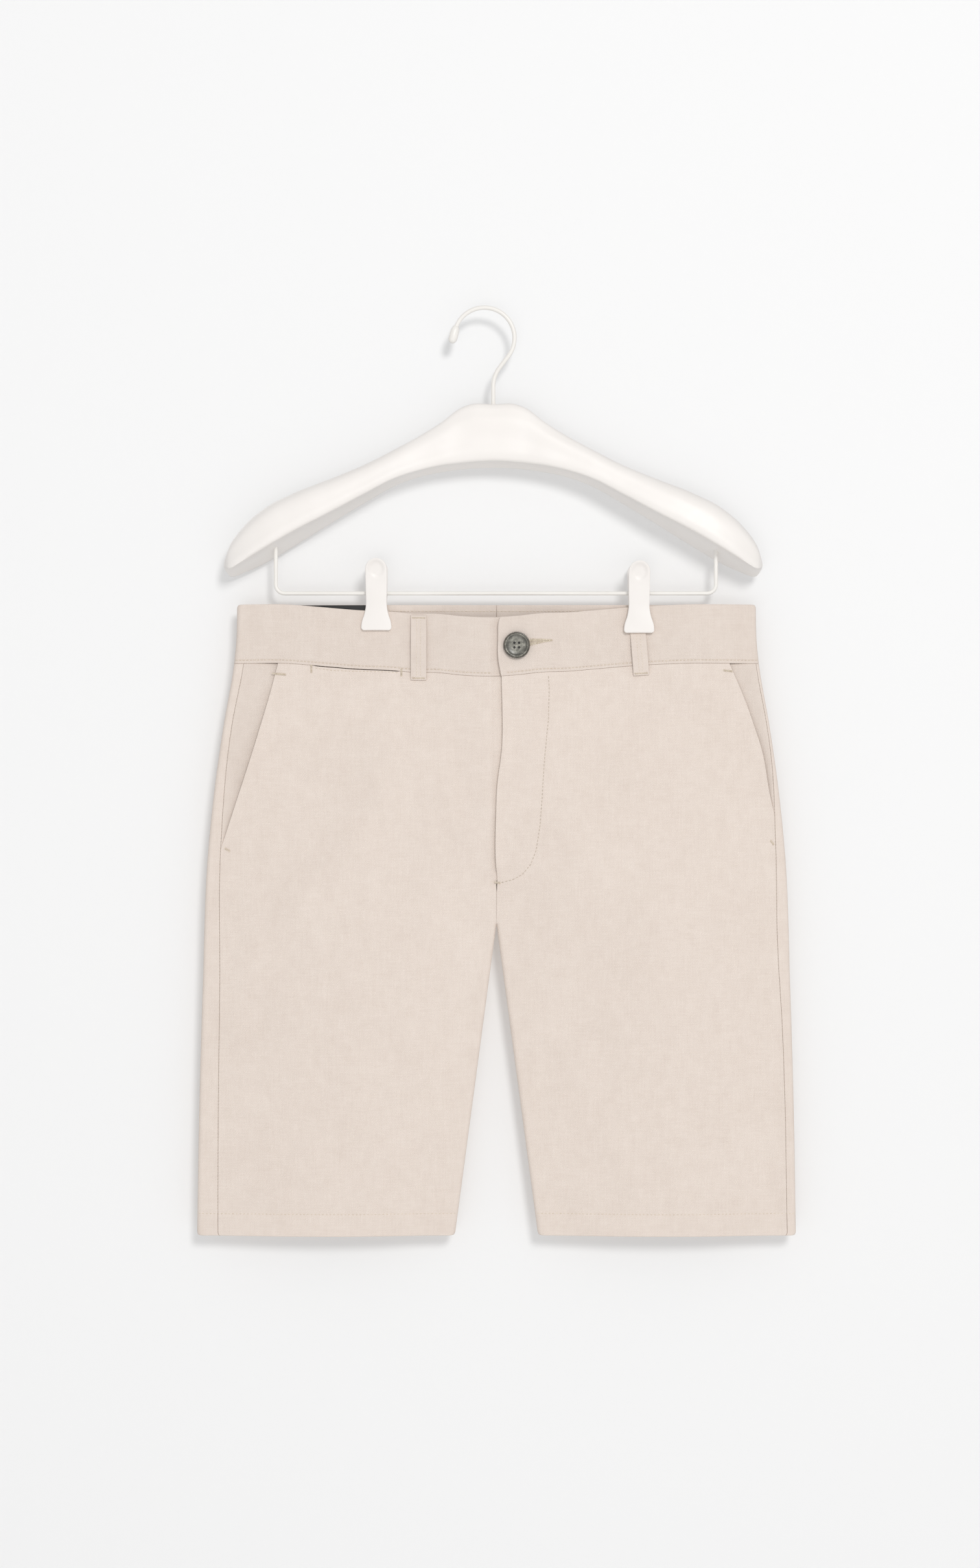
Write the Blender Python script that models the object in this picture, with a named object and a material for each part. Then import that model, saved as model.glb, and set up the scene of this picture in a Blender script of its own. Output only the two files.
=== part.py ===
"""Flat-hung bermuda shorts on a clip hanger, modelled piece by piece.

Sizes are in millimetres and meshes are written in metres. The origin is the inside of the hook's
crown, where a peg carries it. +Z is up, the front faces -Y and the wearer's left is at +X.
On the cloth, x runs sideways from the garment's middle and drop runs down from its back waist edge.
"""

import math

import bmesh
import bpy
import numpy as np

MM = 0.001

# ---------------------------------------------------------------- cloth sizes

SEAM_GAP = 0.3
CLOTH = 1.2
BAND_CLOTH = 2.0
HEM_CLOTH = 2.4
LOOP_CLOTH = 1.2
LABEL_CLOTH = 0.6

GARMENT_X = 9.8
WAIST_Z = -237.1
BAND_HEIGHT = 46.7
CROTCH_DROP = 256.4
HEM_DROP = 505.4
HEM_TURN = 18.0
HEM_HALF_GAP = 33.3
FOLD_RADIUS = 3.5

BAND_EDGE = 2.0          # the overlapping end of the waistband, past the middle
BAND_UNDERLAP = 32.0     # how far the other end reaches under it
FLY_UNDERLAP = 6.0       # how far the wearer's right front reaches under the fly
LAP_START = -5.5         # where the lower layer starts to sink below the upper one
LAP_END = -0.6
FLY_NARROWS = 213.0
FLY_END = 221.0
FLY_CLOSED = 230.0
FACING_REACH = 22.0      # the pocket facing runs this far behind the front's edge
FACING_BOTTOM = 205.0

PINCH_DROP = 22.4        # the clips' jaws hold the cloth down to here
BODY_DROP = 130.0        # below here the body keeps its own depth
LEG_START = 150.0        # from here the body divides into two legs

BUTTON_X = 16.1
BUTTON_DROP = 23.0
BUTTON_RADIUS = 10.6
BUTTON_THICK = 3.0
BUTTON_HOLE = 0.9
BUTTON_HOLE_SPREAD = 1.85

LOOP_WIDTH = 12.6
LOOP_ROWS = 9
LOOP_SLACK = 0.6         # the loops stand a little off the band, which the clips don't press there

LABEL_X = (-164.0, -97.0)
LABEL_DROP = (1.0, 34.0)


def table(names, *rows):
    """Named columns of numbers, one row for each section."""
    return {name: np.array(column, float) for name, column in zip(names.split(), zip(*rows))}


OUTLINE = table(
    "drop half_width",
    (0, 208.0),
    (30, 208.8),
    (47, 210.5),
    (97, 219.0),
    (138, 225.0),
    (201, 231.6),
    (305, 235.6),
    (409, 238.6),
    (506, 240.2),
)
DEPTH = table(
    "drop half_depth",
    (0, 8.0),
    (60, 10.0),
    (140, 13.0),
    (215, 13.0),
    (300, 11.5),
    (506, 9.5),
)
# The front hangs a little lower between the clips than the back does.
FRONT_DIP = table(
    "x dip",
    (-208, 0.0),
    (-165, 0.0),
    (-108, 4.2),
    (-69, 6.6),
    (0, 10.4),
    (54, 6.6),
    (104, 2.2),
    (146, 0.0),
    (208, 0.0),
)
# How far the waist bows out of its folded depth, held in by the jaws of both clips.
FRONT_BOW = table(
    "x bow",
    (-208, 0.0),
    (-152, 1.5),
    (-111, -0.9),
    (-82, -0.9),
    (4, 8.0),
    (100, -0.9),
    (128, -0.9),
    (166, 1.2),
    (208, 0.0),
)
BACK_BOW = table(
    "x bow",
    (-208, 0.0),
    (-152, 1.0),
    (-111, -0.9),
    (-82, -0.9),
    (4, 1.4),
    (100, -0.9),
    (128, -0.9),
    (166, 1.0),
    (208, 0.0),
)
# The back panel wraps past the side fold on to the front, up to the side seam.
WRAP_RIGHT = table("drop wrap", (47, 8.0), (92, 7.0), (190, 10.0), (290, 13.5), (506, 17.0))
WRAP_LEFT = table("drop wrap", (47, 2.6), (123, 2.8), (190, 7.2), (250, 9.6), (340, 7.8), (506, 7.4))
POCKET_RIGHT = table(
    "drop x",
    (47, 175.0), (70, 181.0), (111, 193.0), (161, 209.4), (196, 221.0), (230, 232.0),
)
POCKET_LEFT = table("drop x", (47, 186.5), (78, 199.7), (99, 207.0), (117, 212.7), (150, 218.6), (196, 229.0))
FLY_EDGE = table(
    "drop x",
    (47, 4.0), (107, 4.2), (140, 0.4), (165, -0.5), (205, -0.6), (221, 0.6), (230, 0.15),
)

ROW_DROPS = (
    47.0, 62.0, 84.0, 107.0, 136.0, 163.0, 189.0, 205.0, 213.0, 221.0, 230.0, 243.0,
)
CROTCH_ANGLES = (0, 30, 60, 90)
LEG_DROPS = (262.0, 282.0, 325.0, 375.0, 430.0)
FOLD_ANGLES = (0, 30, 60, 90)
PANEL_STEPS = 7
WRAP_STEPS = 3

# ---------------------------------------------------------------- hanger sizes

HANGER_X = 7.2
HANGER_WALL = 3.0
HANGER_ROOF = 0.35       # the part of the arm's height that is solid above its hollow underside

HOOK_RADIUS = 24.25
HOOK_WIRE = 1.75
HOOK_TIP_ANGLE = 163
HOOK_NECK_ANGLE = -37
HOOK_CAP_RADIUS = 3.9
HOOK_CAP_LENGTH = 10.5
HOOK_CAP_LEAN = 15

BAR_WIRE = 1.6
BAR_Z = -227.6
BAR_BEND = 7.0
BAR_ENDS = (-167.2, 185.8)

CLIP_PLATE = 2.6
HINGE_RADIUS = 3.2
HINGE_LENGTH = 12.0

HANGER = table(
    "x top crease lower front back roof",
    (0, -76.0, -122.0, -126.0, 8, 8, 1.0),
    (18, -76.0, -123.0, -126.6, 8, 8, 1.0),
    (27, -79.5, -124.0, -127.4, 8, 9, 1.0),
    (40, -89.5, -125.6, -129.2, 9, 9, 1.0),
    (58, -101.0, -129.6, -132.8, 10, 10, 1.0),
    (80, -113.0, -137.0, -140.6, 12, 11, 1.0),
    (102, -124.3, -148.6, -153.0, 14, 12, 1.0),
    (131, -136.5, -164.4, -170.2, 17, 14, 1.0),
    (160, -148.0, -179.6, -188.0, 19, 16, 1.0),
    (183, -160.0, -193.0, -201.6, 19, 16, 1.0),
    (200, -174.5, -203.0, -209.6, 16, 14, 0.7),
    (211, -189.0, -208.6, -213.4, 11, 11, 0.25),
    (216, -199.0, -208.6, -212.0, 6.5, 6.5, 0.08),
)
CLIPS = table("side x top_z front_face", (-1, -86.4, -200.2, 2.9), (1, 123.9, -202.3, 4.4))
CLIP_OUTLINE = table(
    "fall half_width lean",
    (0, 2.5, 8.0),
    (1.2, 5.2, 7.6),
    (4.2, 7.9, 6.6),
    (8.6, 8.7, 5.2),
    (20, 8.6, 2.3),
    (28, 8.5, 1.0),
    (37, 8.4, 0.0),
    (44, 9.6, 0.0),
    (51, 11.8, 0.0),
    (56.7, 12.2, 0.0),
    (58.6, 11.4, 0.0),
    (59.3, 9.2, 0.0),
)

COLOURS = {
    "cloth": ((0.76, 0.68, 0.60), 0.9, 0.0),
    "label": ((0.02, 0.02, 0.02), 0.8, 0.0),
    "button": ((0.16, 0.17, 0.15), 0.35, 0.0),
    "plastic": ((0.88, 0.86, 0.82), 0.35, 0.0),
    "wire": ((0.86, 0.85, 0.82), 0.4, 0.0),
}


# ---------------------------------------------------------------- shape functions


def ease(t):
    t = min(1.0, max(0.0, t))
    return t * t * (3 - 2 * t)


def eased(columns, key, value, at):
    """Read a column with a flat turn at every row, as cloth has between the points that hold it."""
    keys = columns[key]
    values = columns[value]
    if at <= keys[0]:
        return float(values[0])
    if at >= keys[-1]:
        return float(values[-1])
    i = int(np.searchsorted(keys, at, side="right")) - 1
    return float(values[i] + (values[i + 1] - values[i]) * ease((at - keys[i]) / (keys[i + 1] - keys[i])))


def curved(columns, key, value, at):
    """Read a column along a smooth curve through its rows."""
    keys = columns[key]
    values = columns[value]
    at = min(max(at, keys[0]), keys[-1])
    i = min(int(np.searchsorted(keys, at, side="right")) - 1, len(keys) - 2)
    slopes = np.gradient(values, keys)
    span = keys[i + 1] - keys[i]
    t = (at - keys[i]) / span
    start = values[i] * (1 + 2 * t) * (1 - t) ** 2 + slopes[i] * span * t * (1 - t) ** 2
    end = values[i + 1] * t * t * (3 - 2 * t) - slopes[i + 1] * span * t * t * (1 - t)
    return float(start + end)


def outer_half(drop):
    return curved(OUTLINE, "drop", "half_width", drop)


LEG_SPREAD = math.atan2(HEM_HALF_GAP, HEM_DROP - CROTCH_DROP)


def leg_gap(drop):
    return max(0.0, (drop - CROTCH_DROP) * math.tan(LEG_SPREAD))


def rim_distance(x, drop):
    """How far a point lies inside the garment's flat outline."""
    rise = CROTCH_DROP - drop
    down_leg = abs(x) * math.sin(LEG_SPREAD) - rise * math.cos(LEG_SPREAD)
    if down_leg > 0:
        inner = abs(x) * math.cos(LEG_SPREAD) + rise * math.sin(LEG_SPREAD)
    else:
        inner = math.hypot(x, rise)
    return min(outer_half(drop) - abs(x), inner)


def bulge(x, drop, front):
    """How far the cloth stands out past its folded edges."""
    waist = eased(FRONT_BOW if front else BACK_BOW, "x", "bow", x)
    width = outer_half(drop)
    gap = leg_gap(drop)
    whole = max(0.0, 1 - (x / width) ** 2) ** 2
    across_leg = (2 * abs(x) - width - gap) / (width - gap)
    leg = max(0.0, 1 - across_leg**2) ** 2
    divided = ease((drop - LEG_START) / (CROTCH_DROP - LEG_START))
    body = (curved(DEPTH, "drop", "half_depth", drop) - FOLD_RADIUS) * (whole + (leg - whole) * divided)
    below = ease((drop - PINCH_DROP) / (BODY_DROP - PINCH_DROP))
    return waist + (body - waist) * below


def half_depth(x, drop, front, inset):
    radius = FOLD_RADIUS - inset
    inside = min(1.0, max(0.0, (rim_distance(x, drop) - inset) / radius))
    return radius * math.sqrt(1 - (1 - inside) ** 2) + bulge(x, drop, front)


def dip(x, drop):
    fade = 1 - ease((drop - BAND_HEIGHT) / (CROTCH_DROP - BAND_HEIGHT))
    return curved(FRONT_DIP, "x", "dip", x) * fade


def cloth_point(x, drop, front, inset=0.0):
    """A point on the garment's surface, inset millimetres below its outside."""
    depth = max(SEAM_GAP / 2, half_depth(x, drop, front, inset))
    fall = drop + (dip(x, drop) if front else 0.0)
    return (GARMENT_X + x, -depth if front else depth, WAIST_Z - fall)


# ---------------------------------------------------------------- mesh makers


def new_object(name, mesh, colour, smooth=40):
    mesh.shade_smooth()
    mesh.set_sharp_from_angle(angle=math.radians(smooth))
    mesh.materials.append(material(colour))
    made = bpy.data.objects.new(name, mesh)
    bpy.context.scene.collection.objects.link(made)
    return made


def material(name):
    if name in bpy.data.materials:
        return bpy.data.materials[name]
    colour, roughness, metallic = COLOURS[name]
    made = bpy.data.materials.new(name)
    made.use_nodes = True
    shader = made.node_tree.nodes["Principled BSDF"]
    shader.inputs["Base Color"].default_value = (*colour, 1)
    shader.inputs["Roughness"].default_value = roughness
    shader.inputs["Metallic"].default_value = metallic
    return made


def mesh_from(name, points, faces):
    mesh = bpy.data.meshes.new(name)
    mesh.from_pydata([tuple(MM * value for value in point) for point in points], [], faces)
    shape = bmesh.new()
    shape.from_mesh(mesh)
    bmesh.ops.recalc_face_normals(shape, faces=shape.faces)
    shape.to_mesh(mesh)
    shape.free()
    return mesh


def wall(name, outer, inner, colour):
    """A closed wall between two grids of points of the same size."""
    rows = len(outer)
    columns = len(outer[0])
    points = [point for row in outer for point in row] + [point for row in inner for point in row]
    under = rows * columns
    faces = []
    for i in range(rows - 1):
        for j in range(columns - 1):
            a = i * columns + j
            quad = (a, a + 1, a + columns + 1, a + columns)
            faces.append(quad)
            faces.append(tuple(under + index for index in reversed(quad)))
    rim = [j for j in range(columns)]
    rim += [i * columns + columns - 1 for i in range(1, rows)]
    rim += [(rows - 1) * columns + j for j in range(columns - 2, -1, -1)]
    rim += [i * columns for i in range(rows - 2, 0, -1)]
    for a, b in zip(rim, rim[1:] + rim[:1]):
        faces.append((a, under + a, under + b, b))
    return new_object(name, mesh_from(name, points, faces), colour)


def loft(name, sections, colour, smooth=40):
    """A closed body through rings of the same number of points."""
    count = len(sections[0])
    points = [point for ring in sections for point in ring]
    faces = []
    for i in range(len(sections) - 1):
        for j in range(count):
            a = i * count + j
            b = i * count + (j + 1) % count
            faces.append((a, b, b + count, a + count))
    faces.append(tuple(range(count)))
    faces.append(tuple((len(sections) - 1) * count + j for j in range(count)))
    return new_object(name, mesh_from(name, points, faces), colour, smooth)


def wire(name, route, radius, colour, sides=8):
    """A round wire along a route of points that lies in the garment's own plane."""
    route = np.array(route, float)
    sections = []
    for i, point in enumerate(route):
        before = route[max(i - 1, 0)]
        after = route[min(i + 1, len(route) - 1)]
        along = (after - before) / np.linalg.norm(after - before)
        across = np.cross(along, (0, 1, 0))
        ring = []
        for k in range(sides):
            angle = 2 * math.pi * k / sides
            ring.append(point + radius * (math.cos(angle) * across + math.sin(angle) * np.array((0, 1, 0))))
        sections.append(ring)
    return loft(name, sections, colour)


# ---------------------------------------------------------------- trouser panels


def row_drops():
    """The levels of a panel's rows, closer round the crotch and at the top of the hem."""
    crotch = [CROTCH_DROP - FOLD_RADIUS * (1 - math.sin(math.radians(angle))) for angle in CROTCH_ANGLES]
    hem_top = HEM_DROP - HEM_TURN
    return [*ROW_DROPS, *crotch, *LEG_DROPS, hem_top, hem_top + 0.6, HEM_DROP]


def wall_at(drop):
    return CLOTH if drop <= HEM_DROP - HEM_TURN else HEM_CLOTH


def inner_edge(drop, inset):
    """The panel's edge at the middle seam, and below the crotch at the inside leg seam."""
    rise = CROTCH_DROP - drop
    if rise > inset:
        edge = 0.0
    elif rise > 0:
        edge = math.sqrt(inset**2 - rise**2)
    else:
        edge = leg_gap(drop) + inset / math.cos(LEG_SPREAD)
    return max(SEAM_GAP / 2, edge)


def side_edge(side, drop):
    return outer_half(drop) - curved(WRAP_LEFT if side > 0 else WRAP_RIGHT, "drop", "wrap", drop)


def pocket_edge(side, drop):
    return curved(POCKET_LEFT if side > 0 else POCKET_RIGHT, "drop", "x", drop)


def front_edge(side, drop):
    return min(side_edge(side, drop), pocket_edge(side, drop))


def inner_columns(drop, inset, outer):
    """Sideways places from the inner edge outwards: its fold first, then even steps."""
    start = inner_edge(drop, inset)
    radius = FOLD_RADIUS - inset
    places = [start + radius * (1 - math.cos(math.radians(angle))) for angle in FOLD_ANGLES]
    span = outer - places[-1]
    return places + [places[-1] + span * (step + 1) / PANEL_STEPS for step in range(PANEL_STEPS)]


def lap_inset(x, drop, depth):
    """The lower layer of the fly and of the waistband's opening lies this much further in."""
    closed = ease((drop - FLY_END) / (FLY_CLOSED - FLY_END))
    return depth * ease((x - LAP_START) / (LAP_END - LAP_START)) * (1 - closed)


def sunk_point(x, drop, inset, lap):
    """A front point pushed straight back, for the layer that lies under an overlap."""
    place = cloth_point(x, drop, True, inset)
    return (place[0], place[1] + lap_inset(x, drop, lap), place[2])


def fly_edge(drop):
    return curved(FLY_EDGE, "drop", "x", drop)


def front_left_panel():
    outer = []
    inner = []
    for drop in row_drops():
        for inset, grid in ((0.0, outer), (wall_at(drop), inner)):
            places = inner_columns(drop, inset, front_edge(1, drop))
            if drop <= FLY_CLOSED:
                shift = fly_edge(drop) - places[0]
                spread = len(FOLD_ANGLES)
                places = [x + shift * max(0.0, 1 - k / spread) for k, x in enumerate(places)]
            grid.append([cloth_point(x, drop, True, inset) for x in places])
    wall("front_panel_left", outer, inner, "cloth")


def front_right_panel():
    outer = []
    inner = []
    lap = CLOTH + SEAM_GAP
    for drop in row_drops():
        reach = FLY_UNDERLAP * (1 - ease((drop - FLY_NARROWS) / (FLY_END - FLY_NARROWS)))
        for inset, grid in ((0.0, outer), (wall_at(drop), inner)):
            places = inner_columns(drop, inset, front_edge(-1, drop))
            if drop < FLY_CLOSED:
                edge = -reach - max(0.0, fly_edge(drop)) * ease(reach / FLY_UNDERLAP)
                lap_places = np.linspace(edge if reach > 0 else places[0], -LAP_START, len(FOLD_ANGLES))
                places = [*lap_places, *places[len(FOLD_ANGLES):]]
            grid.append([sunk_point(-x, drop, inset, lap) for x in places])
    wall("front_panel_right", outer, inner, "cloth")


def back_panel(side, name):
    outer = []
    inner = []
    for drop in row_drops():
        for inset, grid in ((0.0, outer), (wall_at(drop), inner)):
            radius = FOLD_RADIUS - inset
            width = outer_half(drop) - inset
            row = [(x, False) for x in inner_columns(drop, inset, width - radius)]
            for angle in FOLD_ANGLES[-2::-1]:
                row.append((width - radius * (1 - math.cos(math.radians(angle))), False))
            wrap = width - side_edge(side, drop) - SEAM_GAP
            for step in range(1, WRAP_STEPS + 1):
                row.append((width - wrap * (step / WRAP_STEPS) ** 2, True))
            grid.append([cloth_point(side * x, drop, front, inset) for x, front in row])
    wall(name, outer, inner, "cloth")


def pocket_facing(side, name):
    outer = []
    inner = []
    top = CLOTH + 2 * SEAM_GAP
    levels = [drop for drop in ROW_DROPS if drop <= FACING_BOTTOM]
    for drop in levels:
        start = pocket_edge(side, drop) - FACING_REACH
        start = min(start, side_edge(side, drop) - FACING_REACH)
        places = np.linspace(start, side_edge(side, drop) - SEAM_GAP, 5)
        outer.append([cloth_point(side * x, drop, True, top) for x in places])
        inner.append([cloth_point(side * x, drop, True, top + 0.8) for x in places])
    wall(name, outer, inner, "cloth")


# ---------------------------------------------------------------- waistband and its trim


def band_half(side, name, back_end, front_places):
    """Half of the waistband, from the middle back round the side fold to the front."""
    outer = []
    inner = []
    width = outer_half(0.0)
    back_places = np.linspace(back_end, width - FOLD_RADIUS, 9)
    for drop in (0.0, PINCH_DROP, BAND_HEIGHT):
        for inset, grid in ((0.0, outer), (BAND_CLOTH, inner)):
            radius = FOLD_RADIUS - inset
            width = outer_half(drop) - inset
            row = []
            for x in back_places[:-1]:
                row.append(cloth_point(side * x, drop, False, inset))
            for angle in FOLD_ANGLES[:0:-1]:
                x = width - radius * (1 - math.cos(math.radians(angle)))
                row.append(cloth_point(side * x, drop, False, inset))
            row.append((GARMENT_X + side * width, 0.0, WAIST_Z - drop))
            for angle in FOLD_ANGLES[1:]:
                x = width - radius * (1 - math.cos(math.radians(angle)))
                row.append(cloth_point(side * x, drop, True, inset))
            for x in front_places:
                lap = BAND_CLOTH + SEAM_GAP if side < 0 else 0.0
                row.append(sunk_point(side * x, drop, inset, lap))
            grid.append(row)
    wall(name, outer, inner, "cloth")


def waistband():
    outwards = [186.0, 166.0, 146.0, 128.0, 114.0, 100.0, 82.0, 62.0, 42.0, 22.0]
    band_half(1, "waistband_left", SEAM_GAP / 2, outwards + [BAND_EDGE])
    mirrored = [180.0, 152.0, 130.0, 110.0, 96.0, 82.0, 69.0, 56.0, 40.0, 20.0, -LAP_START, 3.0, -LAP_END]
    band_half(-1, "waistband_right", SEAM_GAP / 2, mirrored + [-15.0, -BAND_UNDERLAP])


def belt_loop(name, top, bottom, front):
    """A folded strip over the waistband, sewn down at both ends, each given as (x, drop)."""
    outer = []
    inner = []
    for share in np.linspace(0, 1, LOOP_ROWS):
        middle = top[0] + (bottom[0] - top[0]) * share
        drop = top[1] + (bottom[1] - top[1]) * share
        places = np.linspace(middle - LOOP_WIDTH / 2, middle + LOOP_WIDTH / 2, 3)
        below = [cloth_point(x, drop, front) for x in places]
        away = -1.0 if front else 1.0
        lift = SEAM_GAP + LOOP_SLACK * ease((drop - PINCH_DROP) / (BAND_HEIGHT - PINCH_DROP))
        inner.append([(x, y + away * lift, z) for x, y, z in below])
        outer.append([(x, y + away * (lift + LOOP_CLOTH), z) for x, y, z in below])
    wall(name, outer, inner, "cloth")


def belt_loops():
    belt_loop("belt_loop_front_right", (-62.4, 1.5), (-62.4, 53.6), True)
    belt_loop("belt_loop_front_left", (112.0, 4.0), (116.0, 55.4), True)
    belt_loop("belt_loop_back_right", (-152.0, 3.0), (-152.0, 56.0), False)
    belt_loop("belt_loop_back_left", (152.0, 3.0), (152.0, 56.0), False)
    belt_loop("belt_loop_back_middle", (0.0, 3.0), (0.0, 56.0), False)


def inner_label():
    """The blank black label sewn inside the back of the waistband."""
    outer = []
    inner = []
    for drop in LABEL_DROP:
        places = np.linspace(*LABEL_X, 5)
        bottom = [cloth_point(x, drop, False, BAND_CLOTH) for x in places]
        outer.append([(x, y - SEAM_GAP, z) for x, y, z in bottom])
        inner.append([(x, y - SEAM_GAP - LABEL_CLOTH, z) for x, y, z in bottom])
    wall("inner_label", outer, inner, "label")


def cylinder(place, radius, length, sides, axis):
    """A closed cylinder, its axis along X or Y, starting at place."""
    sections = []
    for end in (0.0, length):
        ring = []
        for k in range(sides):
            angle = 2 * math.pi * k / sides
            across = radius * math.cos(angle)
            up = radius * math.sin(angle)
            shift = (end, across, up) if axis == "X" else (across, end, up)
            ring.append(tuple(a + b for a, b in zip(place, shift)))
        sections.append(ring)
    return sections


def button():
    middle = cloth_point(BUTTON_X, BUTTON_DROP, True)
    highest = max(
        -cloth_point(BUTTON_X + dx, BUTTON_DROP, True)[1] for dx in (-BUTTON_RADIUS, 0, BUTTON_RADIUS)
    )
    back = (middle[0], -highest - SEAM_GAP - BUTTON_THICK, middle[2])
    made = loft("button", cylinder(back, BUTTON_RADIUS, BUTTON_THICK, 24, "Y"), "button")
    bevel = made.modifiers.new("rim", "BEVEL")
    bevel.width = 0.8 * MM
    bevel.limit_method = "ANGLE"
    for index, (across, up) in enumerate(((-1, -1), (1, -1), (1, 1), (-1, 1))):
        start = (
            back[0] + across * BUTTON_HOLE_SPREAD,
            back[1] - 1.0,
            back[2] + up * BUTTON_HOLE_SPREAD,
        )
        name = f"button_hole_{index + 1}"
        cutter = loft(name, cylinder(start, BUTTON_HOLE, BUTTON_THICK + 2, 8, "Y"), "button")
        cutter.hide_render = True
        cutter.display_type = "WIRE"
        cut = made.modifiers.new(name, "BOOLEAN")
        cut.operation = "DIFFERENCE"
        cut.object = cutter


# ---------------------------------------------------------------- hanger


def hanger_section(place, row):
    """One upright section of an arm: a convex front and back, hollow from below."""
    top = row["top"]
    front = row["front"]
    back = row["back"]
    crease = row["crease"]
    lower = row["lower"]
    front_high = top - crease
    back_high = top - lower
    inner_front = max(0.8, front - HANGER_WALL)
    inner_back = max(0.8, back - HANGER_WALL)
    roof = lower + (top - HANGER_ROOF * back_high - lower) * row["roof"]
    roof_front = max(roof, crease + 0.6)
    outline = (
        (-front, crease),
        (-front, crease + 0.40 * front_high),
        (-0.80 * front, crease + 0.82 * front_high),
        (-0.42 * front, top),
        (0.42 * back, top),
        (0.80 * back, lower + 0.82 * back_high),
        (back, lower + 0.40 * back_high),
        (back, lower),
        (inner_back, lower),
        (0.9 * inner_back, roof_front),
        (-0.9 * inner_front, roof_front),
        (-inner_front, crease),
    )
    return [(place, y, z) for y, z in outline]


def hanger_body():
    count = len(HANGER["x"])
    stations = [(-1, i) for i in range(count - 1, 0, -1)] + [(1, i) for i in range(count)]
    sections = []
    for side, i in stations:
        row = {name: float(column[i]) for name, column in HANGER.items()}
        sections.append(hanger_section(HANGER_X + side * row["x"], row))
    loft("hanger_body", sections, "plastic")


def hanger_roof(x):
    """The underside of the arm's roof over a bar's upright, at the wire's outer side."""
    reach = abs(x - HANGER_X) + BAR_WIRE
    top = np.interp(reach, HANGER["x"], HANGER["top"])
    lower = np.interp(reach, HANGER["x"], HANGER["lower"])
    return float(top - HANGER_ROOF * (top - lower))


def hook_route():
    """Crown, straight neck and reverse bend down to the stem, all in the plane y = 0."""
    crown_z = HOOK_WIRE - HOOK_RADIUS
    route = []
    for angle in np.linspace(HOOK_TIP_ANGLE, HOOK_NECK_ANGLE, 15):
        turn = math.radians(angle)
        route.append((HOOK_RADIUS * math.cos(turn), 0.0, crown_z + HOOK_RADIUS * math.sin(turn)))
    lean = math.radians(-HOOK_NECK_ANGLE)
    sideways = route[-1][0] - HANGER_X - HOOK_RADIUS * (1 - math.cos(lean))
    length = sideways / math.sin(lean)
    bend_z = route[-1][2] - length * math.cos(lean)
    centre_x = HANGER_X + HOOK_RADIUS
    centre_z = bend_z - HOOK_RADIUS * math.sin(lean)
    for turn in np.linspace(lean, 0.0, 4):
        route.append((centre_x - HOOK_RADIUS * math.cos(turn), 0.0, centre_z + HOOK_RADIUS * math.sin(turn)))
    route.append((HANGER_X, 0.0, float(HANGER["top"][0]) + SEAM_GAP))
    return route


def hook():
    route = hook_route()
    wire("hook", route, HOOK_WIRE, "wire")
    tip = np.array(route[0])
    lean = math.radians(HOOK_CAP_LEAN)
    along = np.array((-math.sin(lean), 0.0, -math.cos(lean)))
    start = tip + along * (HOOK_CAP_RADIUS * 0.25)
    sections = []
    for turn in (75, 45, 15, -15, -45, -75):
        reach = math.radians(turn)
        swell = HOOK_CAP_RADIUS * math.cos(reach)
        straight = 0.0 if turn > 0 else HOOK_CAP_LENGTH - HOOK_CAP_RADIUS
        shift = HOOK_CAP_RADIUS * (1 - math.sin(reach)) + straight
        middle = start + along * shift
        across = np.cross(along, (0, 1, 0))
        ring = []
        for k in range(12):
            angle = 2 * math.pi * k / 12
            turned = math.cos(angle) * across + math.sin(angle) * np.array((0, 1, 0))
            ring.append(middle + swell * turned)
        sections.append(ring)
    loft("hook_tip", sections, "wire")


def bar():
    left, right = BAR_ENDS
    inward = BAR_BEND + SEAM_GAP
    wire("bar", [(left + inward, 0.0, BAR_Z), (right - inward, 0.0, BAR_Z)], BAR_WIRE, "wire")
    for name, x, side in (("bar_upright_right", left, -1), ("bar_upright_left", right, 1)):
        route = [(x, 0.0, hanger_roof(x) - SEAM_GAP)]
        for turn in np.linspace(0, math.pi / 2, 6):
            across = x - side * BAR_BEND * (1 - math.cos(turn))
            route.append((across, 0.0, BAR_Z + BAR_BEND * (1 - math.sin(turn))))
        wire(name, route, BAR_WIRE, "wire")


def clip_plate(name, x, top_z, face, away):
    """One jaw and its lever: flat against the cloth, leaning away from it above the bar."""
    outer = []
    inner = []
    for fall, half_width, lean in zip(*(CLIP_OUTLINE[key] for key in ("fall", "half_width", "lean"))):
        near = away * (face + lean)
        far = away * (face + lean + CLIP_PLATE)
        places = [x + half_width * share for share in (-1.0, -0.5, 0.0, 0.5, 1.0)]
        edge = away * 0.6
        inner.append([(place, near, top_z - fall) for place in places])
        places_far = zip(places, (edge, 0.0, 0.0, 0.0, edge))
        outer.append([(place, far - drawn, top_z - fall) for place, drawn in places_far])
    wall(name, outer, inner, "plastic")


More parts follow.
